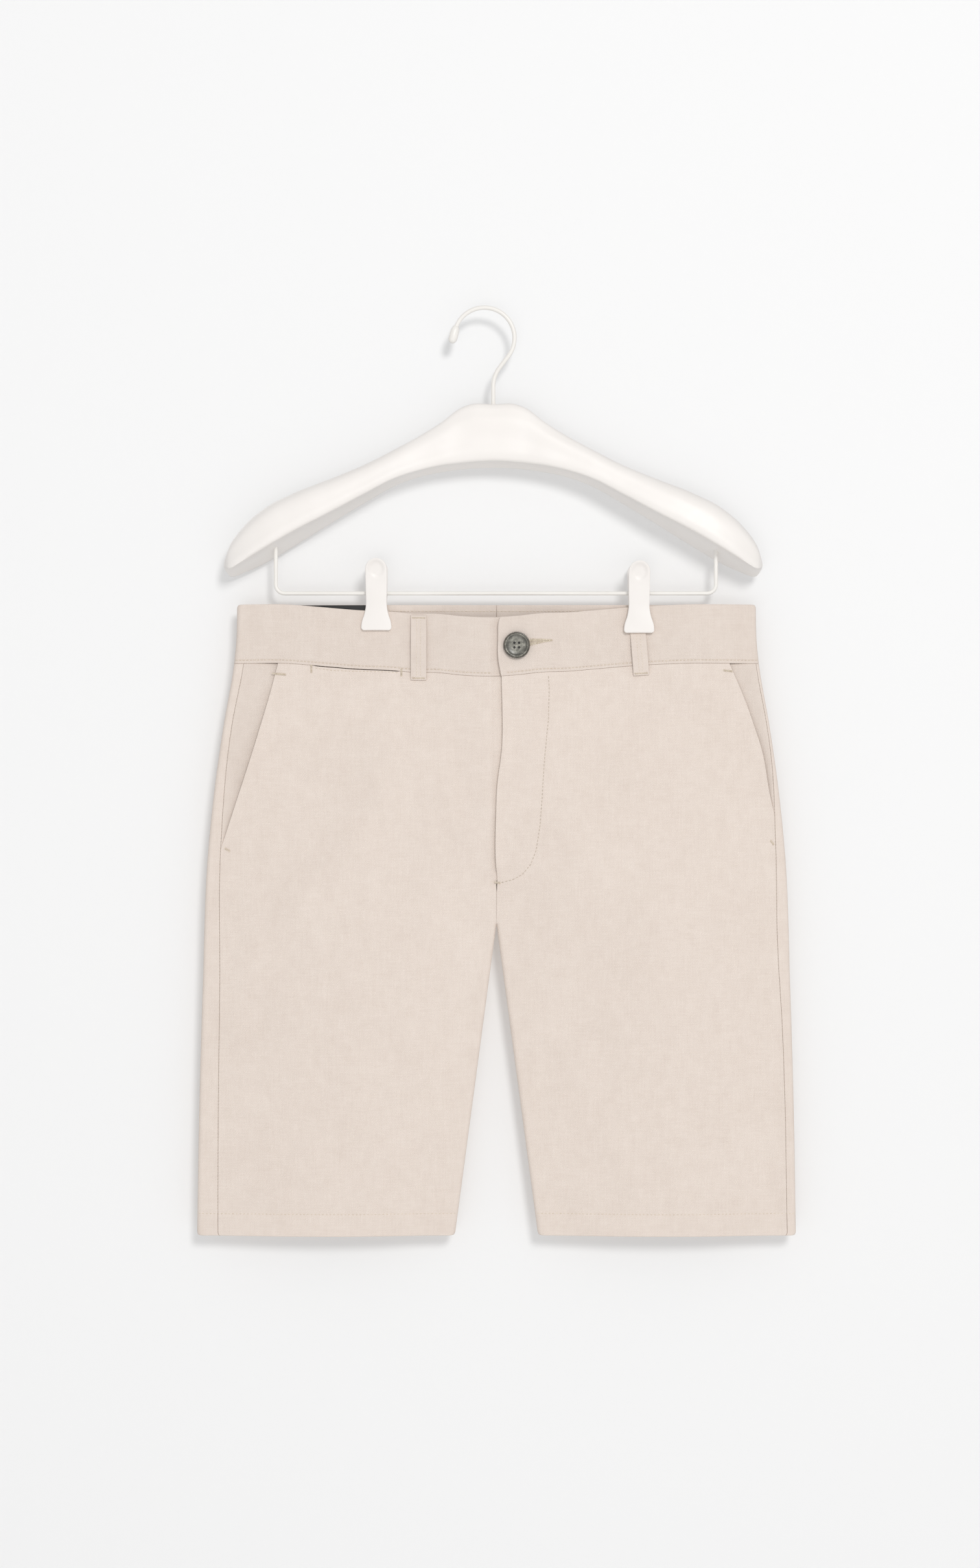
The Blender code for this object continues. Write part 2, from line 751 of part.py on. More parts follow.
def clips():
    back_face = BAND_CLOTH + 3 * SEAM_GAP
    for side, x, top_z, front_face in zip(*CLIPS.values()):
        word = "left" if side > 0 else "right"
        clip_plate(f"clip_{word}_front", x, top_z, front_face, -1.0)
        clip_plate(f"clip_{word}_back", x, top_z, back_face, 1.0)
        name = f"clip_{word}_hinge"
        start = (x - HINGE_LENGTH / 2, 0.0, BAR_Z)
        made = loft(name, cylinder(start, HINGE_RADIUS, HINGE_LENGTH, 16, "X"), "plastic")
        bore_name = f"{name}_bore"
        bore_start = (start[0] - 1, 0.0, BAR_Z)
        bore = cylinder(bore_start, BAR_WIRE + SEAM_GAP, HINGE_LENGTH + 2, 12, "X")
        cutter = loft(bore_name, bore, "plastic")
        cutter.hide_render = True
        cutter.display_type = "WIRE"
        cut = made.modifiers.new("bore", "BOOLEAN")
        cut.operation = "DIFFERENCE"
        cut.object = cutter


def main():
    for old in list(bpy.data.objects):
        bpy.data.objects.remove(old)
    front_left_panel()
    front_right_panel()
    back_panel(-1, "back_panel_right")
    back_panel(1, "back_panel_left")
    pocket_facing(-1, "pocket_facing_right")
    pocket_facing(1, "pocket_facing_left")
    waistband()
    belt_loops()
    inner_label()
    button()
    hanger_body()
    hook()
    bar()
    clips()


main()
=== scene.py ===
import math
from functools import partial

import bmesh
import bpy
import numpy as np
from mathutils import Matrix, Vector


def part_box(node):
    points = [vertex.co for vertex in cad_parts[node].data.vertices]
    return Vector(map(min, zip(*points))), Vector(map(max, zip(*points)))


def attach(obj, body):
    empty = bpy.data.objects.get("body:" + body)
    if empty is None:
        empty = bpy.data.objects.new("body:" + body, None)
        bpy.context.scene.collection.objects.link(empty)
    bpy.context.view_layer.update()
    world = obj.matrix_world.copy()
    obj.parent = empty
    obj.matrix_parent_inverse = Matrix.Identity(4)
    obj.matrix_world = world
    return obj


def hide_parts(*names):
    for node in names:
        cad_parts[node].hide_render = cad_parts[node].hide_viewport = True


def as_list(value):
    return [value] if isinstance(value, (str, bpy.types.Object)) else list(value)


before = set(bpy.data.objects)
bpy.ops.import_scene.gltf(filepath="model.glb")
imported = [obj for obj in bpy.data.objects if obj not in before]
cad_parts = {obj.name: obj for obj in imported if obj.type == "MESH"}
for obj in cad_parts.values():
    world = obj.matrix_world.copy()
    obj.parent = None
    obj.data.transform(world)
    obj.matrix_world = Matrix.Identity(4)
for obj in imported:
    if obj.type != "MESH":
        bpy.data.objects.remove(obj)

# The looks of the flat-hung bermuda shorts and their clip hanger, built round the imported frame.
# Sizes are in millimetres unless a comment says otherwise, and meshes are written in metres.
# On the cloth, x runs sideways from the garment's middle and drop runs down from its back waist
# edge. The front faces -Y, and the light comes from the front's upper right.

MM = 0.001
SIDEWAYS = np.array((1.0, 0.0, 0.0))
BACKWARDS = np.array((0.0, 1.0, 0.0))
UP = np.array((0.0, 0.0, 1.0))
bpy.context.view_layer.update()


def low(node):
    return np.array(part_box(node)[0]) / MM


def high(node):
    return np.array(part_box(node)[1]) / MM


def middle(node):
    return (low(node) + high(node)) / 2


# ---------------- sizes read from the frame

GARMENT_X = (low("waistband_right")[0] + high("waistband_left")[0]) / 2
WAIST_Z = high("waistband_left")[2]
HEM_DROP = WAIST_Z - low("back_panel_left")[2]
PANEL_TOP = WAIST_Z - high("back_panel_left")[2]

# ---------------- cloth sizes

VISIBLE_GAP = 0.03       # sewn pieces close up to this, where the frame keeps them further apart
CLOTH = 1.2
BAND_CLOTH = 2.0
HEM_CLOTH = 2.4
LOOP_CLOTH = 1.3
FOLD_RADIUS = 3.5
BAND_HEIGHT = PANEL_TOP - VISIBLE_GAP
CROTCH_DROP = 256.4
HEM_TURN = 18.0
HEM_HALF_GAP = 33.3
HEM_STEP = 1.5           # the hem's turned edge shows inside over this length
LEG_SPREAD = math.atan2(HEM_HALF_GAP, HEM_DROP - CROTCH_DROP)

BAND_UNDERLAP = 32.0
FLY_UNDERLAP = 6.0
LAP_START = -5.5
LAP_END = -0.6
FLY_NARROWS = 213.0
FLY_END = 221.0
FLY_CLOSED = 230.0
FACING_REACH = 22.0
FACING_BOTTOM = 205.0
PINCH_DROP = 22.4
BODY_DROP = 130.0
LEG_START = 150.0

LOOP_WIDTH = 12.6
LOOP_ROW = 3.0 / LOOP_WIDTH          # each upright row's place, as a share of a loop's half width
LOOP_BOW = 1.6           # how far a belt loop bows off the band between its sewn ends

EDGE_ROUND = 0.4
EDGE_STEPS = np.array((0, 0.08, 0.3, 0.6, 1.2, 2.2, 3.2, 4.4, 5.5))   # rows beside a sewn edge
CLOSE_STEPS = EDGE_STEPS[:5]
CLOSE_ENDS = CLOSE_STEPS[::-1]
GRID = 2.8               # spacing of the rows and columns elsewhere
CREASE_RISE = 1.5        # all creases' heights are scaled by this
RELIEF_FADE = 16.0       # creases fade out over this distance from a folded edge


def table(names, *rows):
    """Named columns of numbers, one row for each section."""
    return {name: np.array(column, float) for name, column in zip(names.split(), zip(*rows))}


OUTLINE = table(
    "drop half_width",
    (0, 208.0), (30, 208.8), (47, 210.5), (97, 219.0), (138, 225.0),
    (201, 231.6), (305, 235.6), (409, 238.6), (506, 240.2),
)
DEPTH = table(
    "drop half_depth",
    (0, 8.0), (60, 10.0), (140, 13.0), (215, 13.0), (300, 11.5), (506, 9.5),
)
FRONT_DIP = table(
    "x dip",
    (-208, 0.0), (-167, 0.0), (-152, 1.1), (-136, 2.4), (-108, 4.5), (-86, 5.3), (-69, 6.9), (-46, 7.5),
    (-30, 9.3), (0, 10.4), (18, 9.2), (34, 7.3), (56, 6.4), (80, 4.3), (104, 2.2), (146, 0.0), (208, 0.0),
)
FRONT_BOW = table(
    "x bow",
    (-208, 0.0), (-152, 1.5), (-111, -0.9), (-82, -0.9), (4, 8.0),
    (100, -0.9), (128, -0.9), (166, 1.2), (208, 0.0),
)
BACK_BOW = table(
    "x bow",
    (-208, 0.0), (-152, 1.0), (-111, -0.9), (-82, -0.9), (4, 1.4),
    (100, -0.9), (128, -0.9), (166, 1.0), (208, 0.0),
)
# The side seam's way in from the side fold and each slant pocket's edge, by the wearer's side.
WRAP = {
    -1: table("drop wrap", (47, 8.0), (92, 7.0), (190, 10.0), (290, 13.5), (506, 17.0)),
    1: table("drop wrap", (47, 2.6), (123, 2.8), (190, 7.2), (250, 9.6), (340, 7.8), (506, 7.4)),
}
POCKET = {
    -1: table("drop x", (47, 175.0), (70, 181.0), (111, 193.0), (161, 209.4), (196, 221.0), (230, 232.0)),
    1: table("drop x", (47, 186.5), (78, 199.7), (99, 207.0), (117, 212.7), (150, 218.6), (196, 229.0)),
}
FLY_EDGE = table(
    "drop x",
    (47, 4.0), (107, 4.2), (140, 0.4), (165, -0.5), (205, -0.6), (221, 0.6), (230, 0.15),
)
BAND_END = table("drop x", (0, 3.0), (3, 1.9), (16, 1.2), (33, 1.2), (47, 3.6))

# Creases: soft troughs (height below 0) and ridges from one place to another, each of its own width.
CREASES = "x drop to_x to_drop width height"
FRONT_CREASES = table(
    CREASES,
    (-91, 86, -93, 149, 15, 0.8), (-93, 149, -115, 188, 14, 0.9), (-115, 188, -159, 240, 15, 1.1),
    (-159, 242, -194, 270, 13, 0.8), (-195, 284, -206, 341, 12, 0.6), (-169, 310, -170, 336, 14, 0.6),
    (-55, 190, -55, 253, 11, 0.7), (28, 71, 30, 117, 10, 0.5), (108, 140, 110, 172, 15, 0.7),
    (150, 66, 164, 76, 12, 0.6), (-104, 62, -98, 76, 9, -0.7), (-52, 78, -54, 94, 9, -0.6),
    (-34, 97, -22, 164, 10, -0.9), (-138, 393, -170, 430, 13, -0.8), (-128, 420, -136, 440, 9, -0.5),
    (-160, 474, -156, 497, 10, -0.6), (-19, 294, -24, 326, 8, -0.6), (-70, 300, -62, 380, 14, 0.5),
    (-95, 455, -110, 492, 10, 0.5), (85, 351, 88, 388, 11, -0.7), (44, 367, 34, 398, 8, -0.6),
    (163, 398, 170, 430, 12, -0.7), (214, 440, 226, 497, 8, -0.8), (54, 481, 40, 500, 7, -0.6),
    (120, 250, 140, 330, 16, 0.7), (64, 150, 58, 230, 13, 0.6), (178, 230, 190, 300, 12, 0.5),
    (100, 440, 118, 480, 12, 0.5), (190, 110, 176, 150, 12, 0.6),
)
BACK_CREASES = table(
    CREASES,
    (-60, 100, -120, 180, 15, 0.9), (-120, 180, -150, 230, 14, 0.8), (70, 90, 118, 176, 14, 0.9),
    (118, 176, 160, 214, 13, 0.7), (-14, 150, -22, 235, 9, -0.9), (16, 168, 24, 240, 9, -0.8),
    (-190, 130, -176, 190, 11, -0.6), (186, 120, 178, 196, 11, -0.7), (-90, 268, -130, 320, 13, 0.7),
    (96, 262, 128, 330, 13, 0.7), (-150, 350, -176, 410, 12, -0.7), (150, 372, 172, 420, 12, -0.7),
    (-74, 380, -66, 450, 12, 0.5), (82, 392, 92, 452, 11, 0.5), (-200, 440, -212, 492, 9, -0.7),
    (204, 432, 214, 488, 9, -0.6), (-110, 470, -104, 496, 10, -0.5), (60, 474, 52, 498, 8, -0.5),
    (-36, 300, -32, 340, 8, -0.5), (-150, 56, -140, 92, 11, -0.6), (140, 58, 134, 84, 10, -0.6),
)
# Slow unevenness of pressed cloth: waves of these lengths, directions (degrees) and heights.
WAVES = table(
    "length turn height start",
    (83, 12, 0.22, 0.4),
    (57, 74, 0.16, 2.1),
    (41, 131, 0.13, 4.4),
    (29, 48, 0.08, 1.2),
    (23, 101, 0.06, 3.3),
)


# ---------------- shape functions, on arrays


def ease(t):
    t = np.clip(t, 0, 1)
    return t * t * (3 - 2 * t)


def rows_round(columns, value, at):
    """The rows before each place in a table's first column, and the column that is read there."""
    keys = next(iter(columns.values()))
    i = np.clip(np.searchsorted(keys, at, side="right") - 1, 0, len(keys) - 2)
    return keys, columns[value], i, keys[i + 1] - keys[i]


def eased(columns, value, at):
    """Read a column with a flat turn at every row, as cloth has between the points that hold it."""
    keys, values, i, span = rows_round(columns, value, at)
    return values[i] + (values[i + 1] - values[i]) * ease((at - keys[i]) / span)


def curved(columns, value, at):
    """Read a column along a smooth curve through its rows."""
    keys = next(iter(columns.values()))
    at = np.clip(at, keys[0], keys[-1])
    keys, values, i, span = rows_round(columns, value, at)
    slopes = np.gradient(values, keys)
    t = (at - keys[i]) / span
    start = values[i] * (1 + 2 * t) * (1 - t) ** 2 + slopes[i] * span * t * (1 - t) ** 2
    end = values[i + 1] * t * t * (3 - 2 * t) - slopes[i + 1] * span * t * t * (1 - t)
    return start + end


CORNER = 3.0             # radius of the garment's corners at the waist and the hem
CORNER_SHARE = 0.7       # how much of that radius the sides draw in by


def corner_cut(distance):
    """How far a rounded corner draws the side in, at this distance from the end."""
    return CORNER * (1 - np.sqrt(1 - (1 - np.clip(distance / CORNER, 0, 1)) ** 2))


def outer_half(drop):
    cut = corner_cut(drop) + corner_cut(HEM_DROP - drop)
    return curved(OUTLINE, "half_width", drop) - CORNER_SHARE * cut


def leg_gap(drop):
    corner = CORNER_SHARE * corner_cut(HEM_DROP - drop)
    return np.maximum(0.0, (drop - CROTCH_DROP) * math.tan(LEG_SPREAD)) + corner


def rim_distance(x, drop):
    """How far a point lies inside the garment's flat outline."""
    rise = CROTCH_DROP - drop
    x = np.abs(x)
    down_leg = x * math.sin(LEG_SPREAD) - rise * math.cos(LEG_SPREAD)
    corner = CORNER_SHARE * corner_cut(HEM_DROP - drop)
    inner = np.where(
        down_leg > 0, (x - corner) * math.cos(LEG_SPREAD) + rise * math.sin(LEG_SPREAD), np.hypot(x, rise)
    )
    return np.minimum(outer_half(drop) - x, inner)


def bulge(x, drop, front):
    """How far the cloth stands out past its folded edges."""
    waist = eased(FRONT_BOW if front else BACK_BOW, "bow", x)
    width = outer_half(drop)
    gap = leg_gap(drop)
    whole = np.maximum(0.0, 1 - (x / width) ** 2) ** 2
    across_leg = (2 * np.abs(x) - width - gap) / (width - gap)
    leg = np.maximum(0.0, 1 - across_leg**2) ** 2
    divided = ease((drop - LEG_START) / (CROTCH_DROP - LEG_START))
    body = (curved(DEPTH, "half_depth", drop) - FOLD_RADIUS) * (whole + (leg - whole) * divided)
    below = ease((drop - PINCH_DROP) / (BODY_DROP - PINCH_DROP))
    return waist + (body - waist) * below


def relief(x, drop, front):
    """The creases, the slow unevenness and the hem's ridge, outwards."""
    rows = FRONT_CREASES if front else BACK_CREASES
    total = np.zeros(np.broadcast(x, drop).shape)
    for ax, ay, bx, by, width, height in zip(*rows.values()):
        run = (bx - ax) ** 2 + (by - ay) ** 2
        along = np.clip(((x - ax) * (bx - ax) + (drop - ay) * (by - ay)) / run, 0, 1)
        away = np.hypot(x - ax - along * (bx - ax), drop - ay - along * (by - ay))
        total = total + CREASE_RISE * height * np.exp(-((away / width) ** 2))
    for length, turn, height, start in zip(*WAVES.values()):
        turn = math.radians(turn if front else 180 - turn)
        along = x * math.cos(turn) + drop * math.sin(turn)
        total = total + height * np.sin(along * math.tau / length + start)
    total = total * ease((drop - PANEL_TOP) / 24) * ease(rim_distance(x, drop) / RELIEF_FADE)
    below_row = drop - (HEM_DROP - HEM_TURN)
    hem = 0.35 * ease(below_row / 3 + 0.5) - 0.25 * np.exp(-(below_row**2) / 2)
    return total + hem * ease(rim_distance(x, drop) / 6)


def dip(x, drop):
    fade = 1 - ease((drop - BAND_HEIGHT) / (CROTCH_DROP - BAND_HEIGHT))
    return curved(FRONT_DIP, "dip", x) * fade


def drop_of(x, fall):
    """The place on the front that hangs this far below the back waist edge."""
    drop = fall
    for _ in range(4):
        drop = fall - dip(x, drop)
    return drop


def cloth_point(x, drop, front, inset=0.0, lift=0.0):
    """Points on the garment's surface, inset below its outside and lifted off it."""
    radius = FOLD_RADIUS - inset
    inside = np.clip((rim_distance(x, drop) - inset) / radius, 0, 1)
    depth = radius * np.sqrt(1 - (1 - inside) ** 2) + bulge(x, drop, front) + relief(x, drop, front)
    depth = np.maximum(VISIBLE_GAP, depth + lift)
    fall = drop + (dip(x, drop) if front else 0.0)
    return np.stack(np.broadcast_arrays(GARMENT_X + x, -depth if front else depth, WAIST_Z - fall), -1)


def lap(x, drop, depth):
    """How far the lower layer of the fly, or of the waistband's opening, lies further in."""
    closed = ease((drop - FLY_END) / (FLY_CLOSED - FLY_END))
    return depth * ease((x - LAP_START) / (LAP_END - LAP_START)) * (1 - closed)


def rim_inset(distance, thick):
    """A rounded edge: how far both faces of a wall draw together beside it."""
    radius = thick / 2
    width = np.minimum(radius, EDGE_ROUND)
    return radius * (1 - np.sqrt(1 - (1 - np.clip(distance / width, 0, 1)) ** 2))


# ---------------- mesh makers


def finish_piece(name, mesh, material, nodes=()):
    mesh.shade_smooth()
    mesh.materials.append(material)
    made = bpy.data.objects.new(name, mesh)
    bpy.context.scene.collection.objects.link(made)
    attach(made, "root")
    if nodes:
        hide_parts(*nodes)
    return made


def mesh_of(name, points, faces):
    """A mesh in metres, its coinciding points joined and its faces turned outwards."""
    mesh = bpy.data.meshes.new(name)
    mesh.from_pydata(points * MM, [], faces)
    shape = bmesh.new()
    shape.from_mesh(mesh)
    bmesh.ops.remove_doubles(shape, verts=shape.verts, dist=2e-6)
    bmesh.ops.recalc_face_normals(shape, faces=shape.faces)
    shape.to_mesh(mesh)
    shape.free()
    return mesh


def grid_faces(rows, columns, ring=False):
    """The quads of a grid of points, closed round its columns where it is a ring."""
    index = np.arange(rows * columns).reshape(rows, columns)
    if ring:
        index = np.hstack((index, index[:, :1]))
    corners = (index[:-1, :-1], index[:-1, 1:], index[1:, 1:], index[1:, :-1])
    return np.stack(corners, -1).reshape(-1, 4)


def shell(name, outer, inner, material, slot, nodes):
    """A thin closed shell whose two faces meet along its rounded edges."""
    rows, columns = outer.shape[:2]
    faces = grid_faces(rows, columns)
    points = np.concatenate((outer.reshape(-1, 3), inner.reshape(-1, 3)))
    faces = np.concatenate((faces, faces[:, ::-1] + rows * columns)).tolist()
    return finish_piece(name, mesh_of(name, points, faces), material, nodes)


def tube(name, sections, material, nodes):
    """A closed body through rings of the same number of points, with flat ends."""
    rows, columns = sections.shape[:2]
    faces = grid_faces(rows, columns, ring=True).tolist()
    faces += [list(range(columns)), [(rows - 1) * columns + j for j in range(columns)]]
    return finish_piece(name, mesh_of(name, sections.reshape(-1, 3), faces), material, nodes)


def circle(across, out, sides):
    """Steps from a circle's middle to its points, in the plane of two directions."""
    angles = (np.arange(sides) * math.tau / sides)[:, None]
    return across * np.cos(angles) + out * np.sin(angles)


def levels(top, bottom, marks=()):
    """Rows from one sewn edge to another, close together beside both and round each mark."""
    near = [top + EDGE_STEPS, bottom - EDGE_STEPS]
    near += [mark + np.array((-2.2, -1.1, -0.4, 0.4, 1.1, 2.2)) for mark in marks]
    near = np.concatenate(near)
    inside = np.linspace(top, bottom, int((bottom - top) / GRID) + 1)
    far = [drop for drop in inside if np.abs(near - drop).min() > 0.45 * GRID]
    return np.sort(np.concatenate((near, far)))[:, None]


def filled(first, last, count):
    """Columns: those beside each edge, and even ones between them."""
    share = (np.arange(count) + 1) / (count + 1)
    between = first[:, -1:] + (last[:, :1] - first[:, -1:]) * share
    return np.hstack((first, between, last))


# ---------------- materials


class Paint:
    """A procedural material, with short ways to add shader nodes to it."""

    def __init__(self, name, **weights):
        self.material = bpy.data.materials.new(name)
        self.material.use_nodes = True
        self.tree = self.material.node_tree
        self.shader = self.tree.nodes["Principled BSDF"]
        self.place = self.node("TexCoord", {})["Object"]
        for socket, value in weights.items():
            self.link(value, self.shader.inputs[socket.replace("_", " ")])

    def link(self, value, socket):
        if isinstance(value, bpy.types.NodeSocket):
            self.tree.links.new(value, socket)
        else:
            socket.default_value = value

    def node(self, kind, sockets, **settings):
        """The results of a new node that has these values or links in its sockets."""
        made = self.tree.nodes.new(f"ShaderNode{kind}")
        for name, value in settings.items():
            setattr(made, name, value)
        for socket, value in sockets.items():
            self.link(value, made.inputs[socket])
        return made.outputs

    def math(self, operation, *values):
        return self.node("Math", dict(enumerate(values)), operation=operation)[0]

    def total(self, start, *terms):
        """A start, and each value times its weight."""
        for value, weight in terms:
            start = self.math("MULTIPLY_ADD", value, weight, start)
        return start

    def wave(self, value, length):
        return self.math("SINE", self.total(0, (value, math.tau / (length * MM))))

    def axes(self):
        return self.node("SeparateXYZ", {0: self.place})

    def noise(self, size, detail=2, roughness=0.5):
        """Noise with grains of this many millimetres: one size, or one along each axis."""
        scale = [1 / (axis * MM) for axis in np.broadcast_to(size, 3)]
        place = self.node("Mapping", {"Vector": self.place, "Scale": scale})[0]
        sockets = {"Vector": place, "Scale": 1.0, "Detail": detail, "Roughness": roughness}
        return self.node("TexNoise", sockets)["Fac"]

    def ramp(self, factor, *stops):
        node = self.tree.nodes.new("ShaderNodeValToRGB")
        self.link(factor, node.inputs[0])
        elements = node.color_ramp.elements
        while len(elements) < len(stops):
            elements.new(0.5)
        for element, (position, colour) in zip(elements, stops):
            element.position = position
            element.color = (*colour, 1)
        return node.outputs["Color"]

    def multiplied(self, first, second):
        sockets = {"Factor": 1, "A": first, "B": second}
        return self.node("Mix", sockets, data_type="RGBA", blend_type="MULTIPLY")["Result"]

    def finished(self, colour, height, distance, strength, rough=None):
        """The material, once its colour, its bump of so many millimetres and its roughness are in."""
        sockets = {"Height": height, "Distance": distance * MM, "Strength": strength}
        self.link(colour, self.shader.inputs["Base Color"])
        self.link(self.node("Bump", sockets)[0], self.shader.inputs["Normal"])
        if rough is not None:
            self.link(rough, self.shader.inputs["Roughness"])
        return self.material


WALE = 0.85              # the twill's diagonal ribs, centre to centre
YARN = 0.42
TWILL_TURN = 47          # degrees from upright
# The cloth's dark, middle and light tones.
CLOTH_TONES = (0.655, 0.558, 0.492), (0.772, 0.680, 0.614), (0.845, 0.762, 0.696)


def cloth_material(name, slant, painted_shade=1.0):
    """Slubby cotton and linen twill. Its ribs rise to the right at a slant of 1, to the left at -1."""
    paint = Paint(name, Sheen_Weight=0.12, Sheen_Roughness=0.45, Specular_IOR_Level=0.25)
    x, _, z = paint.axes()
    turn = math.radians(TWILL_TURN)
    per_wale = math.tau / (WALE * MM)
    upright = -slant * math.sin(turn) * per_wale
    wander = paint.noise(3.2)
    phase = paint.total(0, (x, math.cos(turn) * per_wale), (z, upright), (wander, 5.5))
    rib = paint.total(0.5, (paint.math("SINE", phase), 0.5))
    crossing = paint.math("MULTIPLY", paint.wave(z, YARN), paint.wave(x, YARN))
    slub_up = paint.noise((0.7, 3, 16), 3, 0.6)
    slub_across = paint.noise((13, 3, 0.7), 3, 0.6)
    mottle = paint.noise((9, 9, 11), 4, 0.62)
    cloud = paint.noise((46, 46, 60))
    slubs = (slub_up, 0.42), (slub_across, 0.42)
    tone = paint.total(-0.55, (rib, 0.6), *slubs, (mottle, 0.46), (cloud, 0.2))
    # A last argument below 1 darkens all three tones: painted shade, for a shaded copy of the leg cloth.
    shades = [[painted_shade * part for part in colour] for colour in CLOTH_TONES]
    colour = paint.ramp(tone, *zip((0.0, 0.5, 1.0), shades))
    height = paint.total(rib, (crossing, 0.14), (slub_up, 0.8), (slub_across, 0.8))
    return paint.finished(colour, height, 0.10, 0.6, paint.total(0.76, (mottle, 0.16)))


def thread_material(name, dark, light):
    """Twisted sewing thread."""
    paint = Paint(name, Roughness=0.7, Sheen_Weight=0.15)
    colour = paint.ramp(paint.noise(1.4), (0.3, dark), (0.7, light))
    return paint.finished(colour, paint.noise(0.25, 1), 0.05, 0.6)


def moulded_material(name, dark, light, roughness, coat):
    """Warm white plastic or wire coating, with a faint unevenness in colour, gloss and surface."""
    paint = Paint(name, Coat_Weight=coat, Coat_Roughness=0.3)
    colour = paint.ramp(paint.noise(38, 3), (0.3, dark), (0.7, light))
    rough = paint.total(roughness - 0.1, (paint.noise(7, 5, 0.7), 0.2))
    return paint.finished(colour, paint.noise(1.1, 3), 0.025, 0.5, rough)


def label_material():
    """Plain black woven tape."""
    paint = Paint("black_label_tape", Roughness=0.55, Sheen_Weight=0.2)
    x, _, z = paint.axes()
    weave = paint.total(0.5, (paint.math("MULTIPLY", paint.wave(z, 0.45), paint.wave(x, 0.3)), 0.5))
    tone = paint.total(0, (weave, 0.5), (paint.noise(9, 3), 0.5))
    colour = paint.ramp(tone, (0.2, (0.010, 0.010, 0.011)), (0.8, (0.030, 0.029, 0.029)))
    return paint.finished(colour, weave, 0.08, 0.7)


def button_material(radius):
    """Marbled dark green-grey resin, darker at the rim; painted shade on the dish's steep wall, in the
    groove and in the holes, a painted highlight on the ledge.
    """
    paint = Paint("marbled_button_resin", Coat_Weight=0.2, Coat_Roughness=0.2)
    x, y, z = paint.axes()
    squares = paint.total(paint.math("MULTIPLY", z, z), (x, x))
    reach = paint.math("DIVIDE", paint.math("SQRT", squares), radius * MM)
    veins = paint.noise((1.5, 1.5, 1.9), 4, 0.7)
    marble = paint.total(0, (veins, 0.38), (paint.noise((4.2, 4.2, 3.2), 5, 0.6), 0.62))
    face = paint.ramp(
        marble, (0.34, (0.115, 0.109, 0.094)), (0.50, (0.32, 0.308, 0.270)), (0.66, (0.74, 0.712, 0.640))
    )
    # Painted shade darkens the steep wall into the dish and the groove, and a painted highlight lightens
    # the raised ledge between them; the rim is darker too.
    rings = paint.ramp(
        reach, (0.0, (0.72, 0.72, 0.70)), (0.50, (0.62, 0.63, 0.61)), (0.74, (0.30, 0.30, 0.29)),
        (0.80, (0.36, 0.36, 0.35)), (0.85, (0.80, 0.80, 0.77)), (0.89, (0.30, 0.29, 0.275)),
        (0.93, (0.26, 0.245, 0.225)), (1.0, (0.16, 0.15, 0.135)),
    )
    # Painted shade: points further back than the button's middle turn dark, down the holes' walls.
    sunk = paint.total(0.3, (y, 1 / (0.5 * MM)))
    hole_shade = paint.ramp(sunk, (0.0, (1.0, 1.0, 1.0)), (0.6, (0.10, 0.095, 0.09)))
    colour = paint.multiplied(face, paint.multiplied(rings, hole_shade))
    return paint.finished(colour, veins, 0.06, 0.5, paint.total(0.2, (veins, 0.3)))


LEG_TWILL = cloth_material("leg_twill", 1)
# The facing, the belt loops and the waistband take darker copies of the leg cloth: painted shade.
FACING_TWILL = cloth_material("facing_twill", 1, 0.955)
LOOP_TWILL = cloth_material("loop_twill", 1, 0.975)
BAND_TWILL = cloth_material("band_twill", -1, 0.965)
FLY_THREAD = thread_material("fly_thread", (0.50, 0.435, 0.36), (0.66, 0.58, 0.49))
THREAD = thread_material("sewing_thread", (0.66, 0.565, 0.445), (0.83, 0.745, 0.62))
HOLE_THREAD = thread_material("buttonhole_thread", (0.62, 0.53, 0.40), (0.85, 0.765, 0.63))
PLASTIC = moulded_material("hanger_plastic", (0.862, 0.828, 0.798), (0.892, 0.860, 0.832), 0.42, 0.05)
COATING = moulded_material("wire_coating", (0.84, 0.815, 0.775), (0.88, 0.86, 0.825), 0.36, 0.12)


# ---------------- trouser panels

POCKET_GAPE = {-1: 3.4, 1: 0.8}      # how far each slant pocket's edge stands off its facing
POCKET_MOUTH = (56, 106, 120, 192)   # it opens between the first two drops, and closes by the last two
POCKET_JOIN = 12.0                   # length over which the pocket's edge turns into the side seam
FLY_GAPE = 1.5
FLY_SEWN = FLY_END - 14              # the fly's edge lies flat from here down
COIN_OPENS = 0.5
COIN_POCKET = (-147.5, -77.0)        # the coin pocket's opening in the waist seam

FRONT_COLUMNS = 76
BACK_COLUMNS = 70
WRAP_COLUMNS = 10
FACING_COLUMNS = 18
LAP_COLUMNS = np.arange(1.0, 14.0)
SEWN_COLUMNS = len(EDGE_STEPS)
FOLD_COLUMN = SEWN_COLUMNS + BACK_COLUMNS + WRAP_COLUMNS
FOLD_REACH = 14.0                    # the columns close up towards a side fold over this length
FOLD_START = 12.0                    # the middle seam turns into the inside leg's fold over this length
WRAP_SHARE = (np.arange(WRAP_COLUMNS) + 1) / WRAP_COLUMNS
FACING_CLOTH = 0.8


def wall_at(drop):
    return CLOTH + (HEM_CLOTH - CLOTH) * ease((drop - (HEM_DROP - HEM_TURN)) / HEM_STEP)


def inner_edge(drop, inset):
    """The panel's edge at the middle seam, and below the crotch at the inside leg seam."""
    rise = CROTCH_DROP - drop
    beside = np.sqrt(np.maximum(0, inset**2 - rise**2))
    above = np.where(rise > inset, 0, beside)
    edge = np.where(rise > 0, above, leg_gap(drop) + inset / math.cos(LEG_SPREAD))
    return np.maximum(VISIBLE_GAP, edge)


